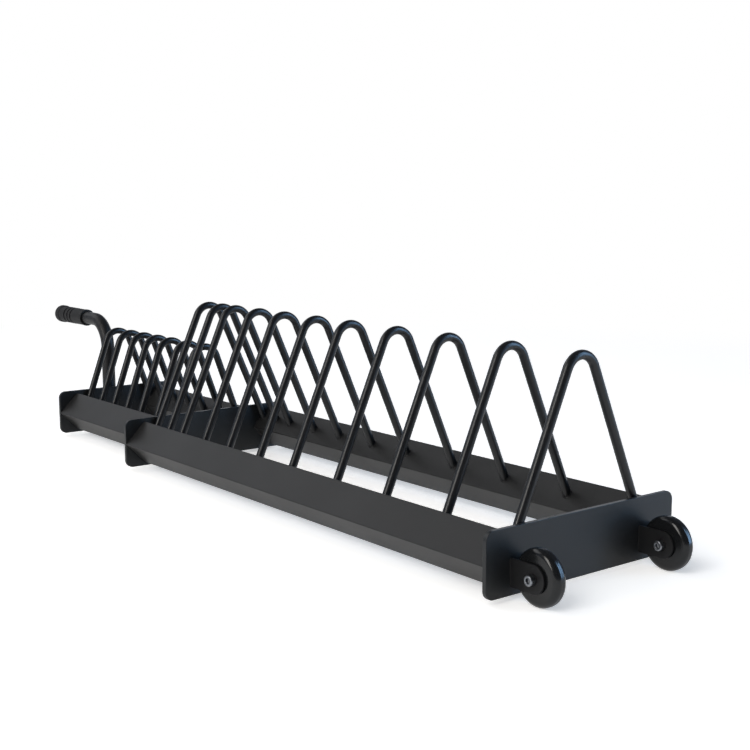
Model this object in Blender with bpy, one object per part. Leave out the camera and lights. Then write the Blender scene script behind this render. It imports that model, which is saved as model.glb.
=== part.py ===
"""Weight plate cart: a long rack of bent hoops that rolls on two wheels and is pulled by a handle.

Units are metres, +Z is up. The wheels are at the +X end, the handle is at the -X end, and +Y is the
cart's left side. The floor is z = 0, and the origin lies under the middle of the cart's outline.
Inside the cart, x is measured back from the front plate's face and z from the plates' lower edges.
"""

import math

import bmesh
import bpy
from mathutils import Matrix, Vector

# Clearances
SEAT_GAP = 0.0003
"""Gap left between two pieces that touch or are welded in the real cart."""
WHEEL_SIDE_GAP = 0.001
"""Free space between a wheel and each of its ears."""
CUT_OVERSHOOT = 0.001
"""How far a cutter reaches past the faces that it opens."""

# End plates and middle plate
PLATE_THICKNESS = 0.006
PLATE_HEIGHT = 0.080
PLATE_CORNER = 0.012
PLATE_EDGE_BREAK = 0.0005
LARGE_BAY_WIDTH = 0.320
"""Width of the front and middle plates, which carry the rails of the large bay."""
SMALL_BAY_WIDTH = 0.242
"""Width of the rear plate, which carries the rails of the small bay."""

# Square rails, turned so that a corner points up
RAIL_SIDE = 0.050
RAIL_WALL = 0.0025
RAIL_CORNER = 0.0015

# Hoops, bent from round bar
HOOP_ROD = 0.012
HOOP_BEND = 0.025
"""Bend radius at the crown, to the middle of the bar."""
LARGE_HOOP_TOP = 0.2693
LARGE_FOOT_REACH = 0.0177
"""Distance outwards from a rail's inner corner to the middle of a large hoop's foot."""
SMALL_HOOP_TOP = 0.196
SMALL_FOOT_REACH = 0.0159

# Slots between the hoops, each for one thickness of weight plate
WIDEST_SLOT = 0.1055
WIDE_SLOT = 0.0955
MEDIUM_SLOT = 0.0745
NARROW_SLOT = 0.0605
NARROWEST_SLOT = 0.0305
SMALL_WIDE_SLOT = 0.0485
SMALL_NARROW_SLOT = 0.041
LARGE_SLOTS = (
    *(WIDEST_SLOT, WIDEST_SLOT),
    *(WIDE_SLOT, WIDE_SLOT),
    *(MEDIUM_SLOT, MEDIUM_SLOT),
    *(NARROW_SLOT, NARROW_SLOT),
    *(NARROWEST_SLOT, NARROWEST_SLOT),
)
"""Clear widths between neighbouring large hoops, from the wheels towards the handle."""
SMALL_SLOTS = (
    *(SMALL_WIDE_SLOT, SMALL_WIDE_SLOT),
    *(SMALL_NARROW_SLOT, SMALL_NARROW_SLOT),
    *(SMALL_NARROW_SLOT, SMALL_NARROW_SLOT),
)

# Handle tube and grip
HANDLE_TUBE = 0.025
HANDLE_WALL = 0.002
HANDLE_ROOT_HEIGHT = 0.030
HANDLE_ROOT_BEND = 0.028
HANDLE_STANDOFF = 0.033
"""Distance from the rear plate to the middle of the upright post."""
HANDLE_TOP_BEND = 0.0525
HANDLE_HEIGHT = 0.205
HANDLE_BARE_RUN = 0.037
"""Length of bare tube between the upper bend and the grip."""
GRIP_LENGTH = 0.1235
GRIP_RADIUS = 0.016
GRIP_RIM_RADIUS = 0.0165
GRIP_RIM_LENGTH = 0.006
GRIP_RIM_TAPER = 0.002
"""Length over which the rim slopes down to the grip's body."""
GRIP_FLANGE_RADIUS = 0.0175
GRIP_FLANGE_LENGTH = 0.018
GRIP_FLANGE_ROUNDING = 0.005
GRIP_END_WALL = 0.010
GRIP_SOFT_EDGE = 0.001
GRIP_GROOVES = 3
GRIP_GROOVE_WIDTH = 0.004
GRIP_GROOVE_DEPTH = 0.0015
GRIP_FIRST_GROOVE = 0.0527
"""Distance from the grip's open rim to the middle of the first groove."""
GRIP_GROOVE_PITCH = 0.0145

# Wheels
WHEEL_RADIUS = 0.034
WHEEL_WIDTH = 0.018
WHEEL_ROUNDING = 0.0075
WHEEL_INSET = 0.050
"""Distance from the front plate's end to the middle of each wheel."""
AXLE_REACH = 0.035
AXLE_HEIGHT = 0.0278
CORE_RADIUS = 0.0155
CORE_RIB_HEIGHT = 0.003
CORE_RIB_WIDTH = 0.006
CORE_SHOULDER_RADIUS = 0.0066
BEARING_RADIUS = 0.008
BEARING_WIDTH = 0.005
BEARING_INSET = 0.001
BEARING_RING_WIDTH = 0.0009
BEARING_SHIELD_INSET = 0.0004
SPACER_RADIUS = 0.006
WASHER_RADIUS = 0.0065

# Wheel ears, cut from flat plate and welded to the front plate
EAR_SHEET = 0.0025
EAR_RADIUS = 0.017
EAR_EDGE_BREAK = 0.0003

# Axle fixings
BOLT_RADIUS = 0.004
BOLT_HEAD_RADIUS = 0.0065
BOLT_HEAD_HEIGHT = 0.008
BOLT_HEAD_CHAMFER = 0.0006
BOLT_SOCKET_FLATS = 0.006
BOLT_SOCKET_DEPTH = 0.004
BOLT_END_LENGTH = 0.002
"""Length of thread that stands out of the nut."""
NUT_FLATS = 0.013
NUT_HEIGHT = 0.008
NUT_CHAMFER = 0.001
NUT_CHAMFER_ANGLE = math.radians(30.0)

# Rubber foot, pushed onto the lower edge of the rear plate
FOOT_LENGTH = 0.076
FOOT_WALL = 0.003
FOOT_RISE = 0.014
FOOT_ROUNDING = 0.0015

EDGE_ANGLE = math.radians(60.0)
"""Edges sharper than this get a plate's edge break."""

EMPTY_SIZE = 0.020
"""How large the empties that carry the pieces are drawn."""

# How finely round shapes are divided
ROD_SIDES = 12
CROWN_STEPS = 8
TUBE_SIDES = 16
BEND_STEPS = 7
WHEEL_STEPS = 32
CORE_STEPS = 20
HUB_STEPS = 16
GRIP_STEPS = 20
CORNER_STEPS = 4
SMOOTH_BELOW = math.radians(35.0)

# Places that follow from the sizes above
PLATE_MIDDLE = PLATE_HEIGHT / 2
RAIL_HALF_DIAGONAL = RAIL_SIDE / math.sqrt(2)
LARGE_RAIL_Y = LARGE_BAY_WIDTH / 2 - RAIL_HALF_DIAGONAL
SMALL_RAIL_Y = SMALL_BAY_WIDTH / 2 - RAIL_HALF_DIAGONAL
LARGE_HOOP_SPREAD = LARGE_RAIL_Y - RAIL_HALF_DIAGONAL + LARGE_FOOT_REACH
"""Distance from the centre plane to the middle of a large hoop's foot."""
SMALL_HOOP_SPREAD = SMALL_RAIL_Y - RAIL_HALF_DIAGONAL + SMALL_FOOT_REACH
WHEEL_SPREAD = LARGE_BAY_WIDTH / 2 - WHEEL_INSET
"""Distance from the centre plane to the middle of each wheel."""


def bay_length(slots):
    """Distance between the plates of a bay whose hoops leave these slots."""
    return sum(slots) + (len(slots) + 1) * HOOP_ROD + 2 * SEAT_GAP


LARGE_BAY_FRONT = -PLATE_THICKNESS
MIDDLE_PLATE_FRONT = LARGE_BAY_FRONT - bay_length(LARGE_SLOTS)
SMALL_BAY_FRONT = MIDDLE_PLATE_FRONT - PLATE_THICKNESS
REAR_PLATE_FRONT = SMALL_BAY_FRONT - bay_length(SMALL_SLOTS)
REAR_PLATE_BACK = REAR_PLATE_FRONT - PLATE_THICKNESS
POST_X = REAR_PLATE_BACK - HANDLE_STANDOFF
GRIP_RIM_X = POST_X - HANDLE_TOP_BEND - HANDLE_BARE_RUN
CART_BACK = GRIP_RIM_X - GRIP_LENGTH
CART_FRONT = AXLE_REACH + WHEEL_RADIUS
PLATE_CLEARANCE = WHEEL_RADIUS - AXLE_HEIGHT
"""Height of the plates' lower edges above the floor."""
EAR_FACE = WHEEL_WIDTH / 2 + WHEEL_SIDE_GAP
"""Distance from the middle of a wheel to the inner face of each ear."""
BEARING_FACE = WHEEL_WIDTH / 2 - BEARING_INSET
BEARING_INNER_FACE = BEARING_FACE - BEARING_WIDTH


def clear_scene():
    """Remove every object, so that the cart is built from an empty scene."""
    for found in list(bpy.data.objects):
        bpy.data.objects.remove(found, do_unlink=True)


def linear(hex_colour):
    """The linear colour, with alpha, of an sRGB colour written as six hex digits."""
    colour = []
    for start in (0, 2, 4):
        value = int(hex_colour[start : start + 2], 16) / 255
        colour.append(value / 12.92 if value <= 0.04045 else ((value + 0.055) / 1.055) ** 2.4)
    return (*colour, 1.0)


def make_material(name, hex_colour, roughness, metallic=0.0):
    """A Principled material of one colour."""
    material = bpy.data.materials.new(name)
    material.use_nodes = True
    shader = material.node_tree.nodes["Principled BSDF"]
    shader.inputs["Base Color"].default_value = linear(hex_colour)
    shader.inputs["Roughness"].default_value = roughness
    shader.inputs["Metallic"].default_value = metallic
    material.diffuse_color = linear(hex_colour)
    return material


def finish_mesh(shape, name, material):
    """Turn a bmesh into a mesh whose faces point outwards and whose round stretches shade smoothly."""
    bmesh.ops.remove_doubles(shape, verts=shape.verts, dist=1e-6)
    bmesh.ops.recalc_face_normals(shape, faces=shape.faces)
    mesh = bpy.data.meshes.new(name)
    shape.to_mesh(mesh)
    shape.free()
    mesh.materials.append(material)
    mesh.shade_smooth()
    mesh.set_sharp_from_angle(angle=SMOOTH_BELOW)
    return mesh


def add_piece(name, mesh, parent, location=(0.0, 0.0, 0.0), rotation=(0.0, 0.0, 0.0)):
    """Place a mesh as one named sub-part under its parent empty."""
    piece = bpy.data.objects.new(name, mesh)
    bpy.context.scene.collection.objects.link(piece)
    piece.parent = parent
    piece.location = location
    piece.rotation_euler = rotation
    return piece


def add_empty(name, parent=None, location=(0.0, 0.0, 0.0)):
    """Place an empty that carries other pieces."""
    empty = add_piece(name, None, parent, location)
    empty.empty_display_size = EMPTY_SIZE
    return empty


def add_cutter(name, shape, parent, location=(0.0, 0.0, 0.0)):
    """Place a hidden shape that cuts another piece."""
    bmesh.ops.remove_doubles(shape, verts=shape.verts, dist=1e-6)
    bmesh.ops.recalc_face_normals(shape, faces=shape.faces)
    mesh = bpy.data.meshes.new(name)
    shape.to_mesh(mesh)
    shape.free()
    cutter = add_piece(name, mesh, parent, location)
    cutter.hide_render = True
    cutter.display_type = "WIRE"
    return cutter


def add_boolean(piece, cutter, operation):
    """Cut a piece with a hidden shape, or keep only what lies inside that shape."""
    modifier = piece.modifiers.new(cutter.name, "BOOLEAN")
    modifier.operation = operation
    modifier.solver = "EXACT"
    modifier.object = cutter


def arc(centre, radius, start, end, steps):
    """Points on a circle from one angle to another, in degrees, both ends included."""
    points = []
    for step in range(steps + 1):
        angle = math.radians(start + (end - start) * step / steps)
        points.append((centre[0] + radius * math.cos(angle), centre[1] + radius * math.sin(angle)))
    return points


def rounded_rectangle(width, height, corner, steps=CORNER_STEPS):
    """Outline of a rectangle with round corners, centred on the origin."""
    across = width / 2 - corner
    up = height / 2 - corner
    outline = []
    for turn, (side, level) in enumerate(((1, 1), (-1, 1), (-1, -1), (1, -1))):
        outline += arc((side * across, level * up), corner, 90 * turn, 90 * turn + 90, steps)
    return outline


def polygon(flats, sides=6):
    """Outline of a regular polygon, given the distance across its flats."""
    return arc((0.0, 0.0), flats / 2 / math.cos(math.pi / sides), 0.0, 360.0 * (1 - 1 / sides), sides - 1)


def extrude_outline(outline, thickness, place):
    """A prism: the outline is put into space by the function place, then pushed along by thickness."""
    shape = bmesh.new()
    face = shape.faces.new([shape.verts.new(place(*point)) for point in outline])
    pushed = bmesh.ops.extrude_face_region(shape, geom=[face])["geom"]
    moved = [part for part in pushed if isinstance(part, bmesh.types.BMVert)]
    bmesh.ops.translate(shape, vec=thickness, verts=moved)
    return shape


def extrude_ring(outer, inner, thickness, place):
    """A hollow prism between two outlines with the same number of points."""
    shape = bmesh.new()
    loops = []
    for outline in (outer, inner):
        corners = [shape.verts.new(place(*point)) for point in outline]
        loops.append([shape.edges.new(pair) for pair in zip(corners, corners[1:] + corners[:1])])
    ring = bmesh.ops.bridge_loops(shape, edges=loops[0] + loops[1])["faces"]
    pushed = bmesh.ops.extrude_face_region(shape, geom=ring)["geom"]
    moved = [part for part in pushed if isinstance(part, bmesh.types.BMVert)]
    bmesh.ops.translate(shape, vec=thickness, verts=moved)
    return shape


def turn_profile(profile, steps, closed, axis="Y"):
    """Spin a profile of (radius, distance along the axis) points all the way round Y or X."""
    shape = bmesh.new()
    corners = []
    for radius, along in profile:
        spot = (radius, along, 0.0) if axis == "Y" else (along, 0.0, radius)
        corners.append(shape.verts.new(spot))
    pairs = list(zip(corners, corners[1:]))
    if closed:
        pairs.append((corners[-1], corners[0]))
    edges = [shape.edges.new(pair) for pair in pairs]
    bmesh.ops.spin(
        shape,
        geom=corners + edges,
        cent=(0.0, 0.0, 0.0),
        axis=(0.0, 1.0, 0.0) if axis == "Y" else (1.0, 0.0, 0.0),
        angle=2 * math.pi,
        steps=steps,
        use_merge=True,
    )
    return shape


def sweep_rings(path, radius, sides, plane_normal):
    """Circles of points round each spot of a flat path, square to it. The path's tangents come with it."""
    rings = []
    for spot, tangent in path:
        side = tangent.cross(plane_normal).normalized()
        ring = []
        for step in range(sides):
            angle = 2 * math.pi * step / sides
            ring.append(spot + radius * (math.cos(angle) * side + math.sin(angle) * plane_normal))
        rings.append(ring)
    return rings


def skin_rings(shape, rings):
    """Join neighbouring rings of points with faces, and return the rings as vertices."""
    loops = [[shape.verts.new(spot) for spot in ring] for ring in rings]
    for first, second in zip(loops, loops[1:]):
        for step in range(len(first)):
            after = (step + 1) % len(first)
            shape.faces.new((first[step], first[after], second[after], second[step]))
    return loops


def hoop_path(top, spread, rail_y):
    """Half of a hoop's centreline, from the crown to the point where its leg meets the rail's face.

    The leg leaves the crown's arc as a tangent. Returns the arc's spots with their tangents, and the
    foot with the leg's direction.
    """
    arc_height = top - HOOP_ROD / 2 - HOOP_BEND
    foot = Vector((0.0, spread, PLATE_MIDDLE + spread - (rail_y - RAIL_HALF_DIAGONAL)))
    reach = foot - Vector((0.0, 0.0, arc_height))
    bend_end = math.atan2(reach.y, reach.z) - math.acos(HOOP_BEND / reach.length)
    spots = []
    for step in range(CROWN_STEPS // 2 + 1):
        angle = bend_end * step / (CROWN_STEPS // 2)
        spot = Vector((0.0, HOOP_BEND * math.sin(angle), arc_height + HOOP_BEND * math.cos(angle)))
        spots.append((spot, Vector((0.0, math.cos(angle), -math.sin(angle)))))
    return spots, foot


def hoop_mesh(name, top, spread, rail_y, material):
    """A bar bent over a crown, with two straight legs cut to lie flat on the rails' upper inner faces."""
    half, foot = hoop_path(top, spread, rail_y)
    across = Vector((1.0, 0.0, 0.0))
    face_normal = Vector((0.0, -1.0, 1.0)).normalized()
    seat = foot + SEAT_GAP * face_normal
    leg = half[-1][1]
    right_rings = sweep_rings(half, HOOP_ROD / 2, ROD_SIDES, across)
    cut = []
    for spot in right_rings[-1]:
        cut.append(spot + leg * ((seat - spot).dot(face_normal) / leg.dot(face_normal)))
    right_rings.append(cut)
    left_rings = []
    for ring in reversed(right_rings[1:]):
        mirrored = [Vector((spot.x, -spot.y, spot.z)) for spot in ring]
        left_rings.append(mirrored)
    shape = bmesh.new()
    loops = skin_rings(shape, left_rings + right_rings)
    shape.faces.new(loops[0])
    shape.faces.new(loops[-1])
    return finish_mesh(shape, name, material)


def add_hoops(prefix, slots, bay_front, mesh, parent):
    """A row of hoops, each one slot and one bar behind the last, between the plates of a bay."""
    x = bay_front - SEAT_GAP - HOOP_ROD / 2
    add_piece(f"{prefix}_01", mesh, parent, (x, 0.0, 0.0))
    for number, slot in enumerate(slots, start=2):
        x -= slot + HOOP_ROD
        add_piece(f"{prefix}_{number:02d}", mesh, parent, (x, 0.0, 0.0))


def add_plate(name, width, front, material, parent):
    """A flat plate across the cart, with round corners and lightly broken edges."""
    outline = rounded_rectangle(width, PLATE_HEIGHT, PLATE_CORNER)
    shape = extrude_outline(outline, (-PLATE_THICKNESS, 0.0, 0.0), lambda y, z: (0.0, y, z))
    plate = add_piece(name, finish_mesh(shape, name, material), parent, (front, 0.0, PLATE_MIDDLE))
    bevel = plate.modifiers.new("edge_break", "BEVEL")
    bevel.width = PLATE_EDGE_BREAK
    bevel.segments = 1
    bevel.limit_method = "ANGLE"
    bevel.angle_limit = EDGE_ANGLE


def add_rails(prefix, bay_front, slots, rail_y, material, parent):
    """Two square tubes standing on their corners, which butt against the plates of a bay."""
    outer = rounded_rectangle(RAIL_SIDE, RAIL_SIDE, RAIL_CORNER, 3)
    bore = RAIL_SIDE - 2 * RAIL_WALL
    inner = rounded_rectangle(bore, bore, RAIL_CORNER / 2, 3)
    length = bay_length(slots) - 2 * SEAT_GAP
    shape = extrude_ring(outer, inner, (-length, 0.0, 0.0), lambda y, z: (0.0, y, z))
    mesh = finish_mesh(shape, prefix, material)
    for side, y in (("left", rail_y), ("right", -rail_y)):
        place = (bay_front - SEAT_GAP, y, PLATE_MIDDLE)
        add_piece(f"{prefix}_{side}", mesh, parent, place, (math.radians(45.0), 0.0, 0.0))


def handle_path():
    """Centreline of the handle tube in the plane y = 0, from the rear plate to inside the grip."""
    back = Vector((-1.0, 0.0, 0.0))
    up = Vector((0.0, 0.0, 1.0))
    root = Vector((REAR_PLATE_BACK - SEAT_GAP, 0.0, HANDLE_ROOT_HEIGHT))
    path = [(root, back)]
    low_centre = Vector((POST_X + HANDLE_ROOT_BEND, 0.0, HANDLE_ROOT_HEIGHT + HANDLE_ROOT_BEND))
    high_centre = Vector((POST_X - HANDLE_TOP_BEND, 0.0, HANDLE_HEIGHT - HANDLE_TOP_BEND))
    for step in range(BEND_STEPS + 1):
        angle = math.pi / 2 * step / BEND_STEPS
        tangent = math.cos(angle) * back + math.sin(angle) * up
        outward = math.sin(angle) * back - math.cos(angle) * up
        path.append((low_centre + HANDLE_ROOT_BEND * outward, tangent))
    for step in range(BEND_STEPS + 1):
        angle = math.pi / 2 * step / BEND_STEPS
        tangent = math.cos(angle) * up + math.sin(angle) * back
        outward = math.sin(angle) * up - math.cos(angle) * back
        path.append((high_centre + HANDLE_TOP_BEND * outward, tangent))
    end = Vector((CART_BACK + GRIP_END_WALL + SEAT_GAP, 0.0, HANDLE_HEIGHT))
    path.append((end, back))
    return path


def add_handle_tube(material, parent):
    """A round tube welded to the rear plate, bent up behind it and back again at the top."""
    path = handle_path()
    across = Vector((0.0, 1.0, 0.0))
    outside = sweep_rings(path, HANDLE_TUBE / 2, TUBE_SIDES, across)
    bore = sweep_rings(path, HANDLE_TUBE / 2 - HANDLE_WALL, TUBE_SIDES, across)
    shape = bmesh.new()
    skin_rings(shape, outside + bore[::-1] + outside[:1])
    add_piece("handle_tube", finish_mesh(shape, "handle_tube", material), parent)


def grip_profile():
    """Half section of the grip as (radius, distance from the open rim), from the rim's bore round to it."""
    soft = GRIP_SOFT_EDGE
    bore = HANDLE_TUBE / 2 + SEAT_GAP
    groove_half = GRIP_GROOVE_WIDTH / 2
    profile = [(bore, 0.0), (GRIP_RIM_RADIUS - soft, 0.0), (GRIP_RIM_RADIUS, soft)]
    profile.append((GRIP_RIM_RADIUS, GRIP_RIM_LENGTH))
    profile.append((GRIP_RADIUS, GRIP_RIM_LENGTH + GRIP_RIM_TAPER))
    for number in range(GRIP_GROOVES):
        middle = GRIP_FIRST_GROOVE + number * GRIP_GROOVE_PITCH
        floor = GRIP_RADIUS - GRIP_GROOVE_DEPTH
        profile.append((GRIP_RADIUS, middle - groove_half))
        profile.append((floor, middle - groove_half / 2))
        profile.append((floor, middle + groove_half / 2))
        profile.append((GRIP_RADIUS, middle + groove_half))
    flange_start = GRIP_LENGTH - GRIP_FLANGE_LENGTH
    profile.append((GRIP_RADIUS, flange_start - soft))
    profile.append((GRIP_FLANGE_RADIUS, flange_start + soft))
    centre = (GRIP_FLANGE_RADIUS - GRIP_FLANGE_ROUNDING, GRIP_LENGTH - GRIP_FLANGE_ROUNDING)
    profile += arc(centre, GRIP_FLANGE_ROUNDING, 0.0, 90.0, CORNER_STEPS)
    profile += [(0.0, GRIP_LENGTH), (0.0, GRIP_LENGTH - GRIP_END_WALL), (bore, GRIP_LENGTH - GRIP_END_WALL)]
    return profile


def add_grip(material, parent):
    """A moulded sleeve with a blind bore, pushed over the end of the handle tube."""
    backwards = [(radius, -along) for radius, along in grip_profile()]
    shape = turn_profile(backwards, GRIP_STEPS, closed=True, axis="X")
    mesh = finish_mesh(shape, "handle_grip", material)
    add_piece("handle_grip", mesh, parent, (GRIP_RIM_X, 0.0, HANDLE_HEIGHT))


def tyre_mesh(material):
    """The tread ring: round shoulders, flat sides, and a groove inside that grips the core's rib."""
    half = WHEEL_WIDTH / 2
    seat = CORE_RADIUS + SEAT_GAP
    rib_top = seat + CORE_RIB_HEIGHT
    rib_half = CORE_RIB_WIDTH / 2 + SEAT_GAP
    shoulder = WHEEL_RADIUS - WHEEL_ROUNDING
    profile = [(seat, -half)]
    profile += arc((shoulder, -half + WHEEL_ROUNDING), WHEEL_ROUNDING, -90.0, 0.0, CORNER_STEPS)
    profile += arc((shoulder, half - WHEEL_ROUNDING), WHEEL_ROUNDING, 0.0, 90.0, CORNER_STEPS)
    profile += [(seat, half), (seat, rib_half), (rib_top, rib_half), (rib_top, -rib_half), (seat, -rib_half)]
    return finish_mesh(turn_profile(profile, WHEEL_STEPS, closed=True), "tyre", material)


def core_mesh(material):
    """The hub: a rib round its middle, and a seat with a shoulder for the bearing on each side."""
    half = WHEEL_WIDTH / 2
    rib_half = CORE_RIB_WIDTH / 2
    rib_top = CORE_RADIUS + CORE_RIB_HEIGHT
    seat = BEARING_RADIUS + SEAT_GAP
    shoulder = BEARING_INNER_FACE - SEAT_GAP
    outside = [(CORE_RADIUS, rib_half), (CORE_RADIUS, half), (seat, half)]
    inside = [(seat, shoulder), (CORE_SHOULDER_RADIUS, shoulder)]
    upper = [(rib_top, rib_half)] + outside + inside
    lower = [(radius, -along) for radius, along in reversed(upper)]
    return finish_mesh(turn_profile(upper + lower, CORE_STEPS, closed=True), "wheel_core", material)


def bearing_mesh(material):
    """A shielded ball bearing, whose shields lie a little below the faces of its two rings."""
    bore = BOLT_RADIUS + SEAT_GAP
    half = BEARING_WIDTH / 2
    ring = BEARING_RING_WIDTH
    low = half - BEARING_SHIELD_INSET
    upper = [(BEARING_RADIUS, half), (BEARING_RADIUS - ring, half), (BEARING_RADIUS - ring, low)]
    upper += [(bore + ring, low), (bore + ring, half), (bore, half)]
    lower = [(radius, -along) for radius, along in reversed(upper)]
    return finish_mesh(turn_profile(upper + lower, HUB_STEPS, closed=True), "wheel_bearing", material)


def sleeve_mesh(name, radius, length, material):
    """A plain ring that fits over the axle bolt."""
    bore = BOLT_RADIUS + SEAT_GAP
    half = length / 2
    profile = [(bore, -half), (radius, -half), (radius, half), (bore, half)]
    return finish_mesh(turn_profile(profile, HUB_STEPS, closed=True), name, material)


def drill_shape(length, place):
    """A round cutter that leaves a hole for the axle bolt."""
    circle = arc((0.0, 0.0), BOLT_RADIUS + SEAT_GAP, 0.0, 360.0 * (1 - 1 / HUB_STEPS), HUB_STEPS - 1)
    return extrude_outline(circle, (0.0, length, 0.0), place)


def add_ear(name, inner_face, way, material, parent, location):
    """A flat plate that stands out from the front plate, round about the axle and drilled for it.

    The location is the axle's place. The ear's inner face is inner_face away from it, on the side
    that way gives as 1 or -1.
    """
    outline = [(SEAT_GAP - AXLE_REACH, EAR_RADIUS), (SEAT_GAP - AXLE_REACH, -EAR_RADIUS)]
    outline += arc((0.0, 0.0), EAR_RADIUS, -90.0, 90.0, 3 * CORNER_STEPS)
    thickness = (0.0, way * EAR_SHEET, 0.0)
    shape = extrude_outline(outline, thickness, lambda x, z: (x, way * inner_face, z))
    ear = add_piece(name, finish_mesh(shape, name, material), parent, location)
    bevel = ear.modifiers.new("edge_break", "BEVEL")
    bevel.width = EAR_EDGE_BREAK
    bevel.segments = 1
    bevel.limit_method = "ANGLE"
    bevel.angle_limit = EDGE_ANGLE
    start = way * (inner_face - CUT_OVERSHOOT)
    length = way * (EAR_SHEET + 2 * CUT_OVERSHOOT)
    drill = drill_shape(length, lambda x, z: (x, start, z))
    add_boolean(ear, add_cutter(f"{name}_drill", drill, parent, location), "DIFFERENCE")


def add_bolt(side, material, parent, location):
    """A socket head screw through both ears. Its head is on the cart's right, which is -Y."""
    head_seat = -(EAR_FACE + EAR_SHEET + SEAT_GAP)
    head_top = head_seat - BOLT_HEAD_HEIGHT
    end = EAR_FACE + EAR_SHEET + 2 * SEAT_GAP + NUT_HEIGHT + BOLT_END_LENGTH
    profile = [(0.0, head_top), (BOLT_HEAD_RADIUS - BOLT_HEAD_CHAMFER, head_top)]
    profile += [(BOLT_HEAD_RADIUS, head_top + BOLT_HEAD_CHAMFER), (BOLT_HEAD_RADIUS, head_seat)]
    profile += [(BOLT_RADIUS, head_seat), (BOLT_RADIUS, end - BOLT_HEAD_CHAMFER)]
    profile += [(BOLT_RADIUS - BOLT_HEAD_CHAMFER, end), (0.0, end)]
    shape = turn_profile(profile, HUB_STEPS, closed=False)
    bolt = add_piece(f"axle_bolt_{side}", finish_mesh(shape, "axle_bolt", material), parent, location)
    depth = BOLT_SOCKET_DEPTH + CUT_OVERSHOOT
    start = head_top - CUT_OVERSHOOT
    hexagon = polygon(BOLT_SOCKET_FLATS)
    key = extrude_outline(hexagon, (0.0, depth, 0.0), lambda x, z: (x, start, z))
    add_boolean(bolt, add_cutter(f"socket_key_{side}", key, parent, location), "DIFFERENCE")


def add_nut(side, material, parent, location):
    """A hexagon nut whose corners are chamfered at both ends."""
    base = EAR_FACE + EAR_SHEET + SEAT_GAP
    hexagon = polygon(NUT_FLATS)
    shape = extrude_outline(hexagon, (0.0, NUT_HEIGHT, 0.0), lambda x, z: (x, base, z))
    nut = add_piece(f"axle_nut_{side}", finish_mesh(shape, "axle_nut", material), parent, location)
    top = base + NUT_HEIGHT
    corner = NUT_FLATS / math.sqrt(3)
    face = corner - NUT_CHAMFER
    wide = corner + CUT_OVERSHOOT
    slope = (wide - face) * math.tan(NUT_CHAMFER_ANGLE)
    cone = [(0.0, base), (face, base), (wide, base + slope), (wide, top - slope), (face, top), (0.0, top)]
    turned = turn_profile(cone, HUB_STEPS, closed=False)
    add_boolean(nut, add_cutter(f"nut_chamfer_{side}", turned, parent, location), "INTERSECT")
    start = base - CUT_OVERSHOOT
    drill = drill_shape(NUT_HEIGHT + 2 * CUT_OVERSHOOT, lambda x, z: (x, start, z))
    add_boolean(nut, add_cutter(f"nut_drill_{side}", drill, parent, location), "DIFFERENCE")


def add_wheel_set(side, y, finishes, meshes, cart):
    """One wheel with its two ears, bearings, spacer, washers, bolt and nut."""
    axle = Vector((AXLE_REACH, y, AXLE_HEIGHT))
    outward = 1 if y > 0 else -1
    add_bolt(side, finishes["fixing"], cart, axle)
    add_nut(side, finishes["fixing"], cart, axle)
    add_piece(f"axle_spacer_{side}", meshes["spacer"], cart, axle)
    washer_middle = (BEARING_FACE + EAR_FACE) / 2
    for end, way in (("outer", outward), ("inner", -outward)):
        add_ear(f"wheel_ear_{side}_{end}", EAR_FACE, way, finishes["ear"], cart, axle)
        place = axle + Vector((0.0, way * washer_middle, 0.0))
        add_piece(f"axle_washer_{side}_{end}", meshes["washer"], cart, place)
    wheel = add_empty(f"wheel_axis_{side}", cart, axle)
    add_piece(f"tyre_{side}", meshes["tyre"], wheel)
    add_piece(f"wheel_core_{side}", meshes["core"], wheel)
    bearing_middle = BEARING_FACE - BEARING_WIDTH / 2
    for end, way in (("outer", outward), ("inner", -outward)):
        place = (0.0, way * bearing_middle, 0.0)
        add_piece(f"wheel_bearing_{side}_{end}", meshes["bearing"], wheel, place)


def add_wheels(finishes, cart):
    """The two wheels, which turn on their own bolts in front of the front plate."""
    spacer_length = 2 * (BEARING_INNER_FACE - SEAT_GAP)
    washer_length = EAR_FACE - BEARING_FACE - 2 * SEAT_GAP
    meshes = {
        "tyre": tyre_mesh(finishes["tyre"]),
        "core": core_mesh(finishes["core"]),
        "bearing": bearing_mesh(finishes["bearing"]),
        "spacer": sleeve_mesh("axle_spacer", SPACER_RADIUS, spacer_length, finishes["fixing"]),
        "washer": sleeve_mesh("axle_washer", WASHER_RADIUS, washer_length, finishes["fixing"]),
    }
    add_wheel_set("left", WHEEL_SPREAD, finishes, meshes, cart)
    add_wheel_set("right", -WHEEL_SPREAD, finishes, meshes, cart)


def add_foot(material, parent):
    """A rubber channel pushed onto the rear plate's lower edge, which keeps the cart level."""
    slot_half = PLATE_THICKNESS / 2 + SEAT_GAP
    outer_half = slot_half + FOOT_WALL
    centre = (outer_half - FOOT_ROUNDING, FOOT_ROUNDING - PLATE_CLEARANCE)
    right = arc(centre, FOOT_ROUNDING, -90.0, 0.0, 2)
    tip = (outer_half - FOOT_ROUNDING, FOOT_RISE - FOOT_ROUNDING)
    right += arc(tip, FOOT_ROUNDING, 0.0, 90.0, 2)
    right += [(slot_half, FOOT_RISE), (slot_half, -SEAT_GAP)]
    left = [(-x, z) for x, z in reversed(right)]
    length = (0.0, FOOT_LENGTH, 0.0)
    shape = extrude_outline(right + left, length, lambda x, z: (x, -FOOT_LENGTH / 2, z))
    place = (REAR_PLATE_FRONT - PLATE_THICKNESS / 2, 0.0, 0.0)
    add_piece("rear_foot", finish_mesh(shape, "rear_foot", material), parent, place)


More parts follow.
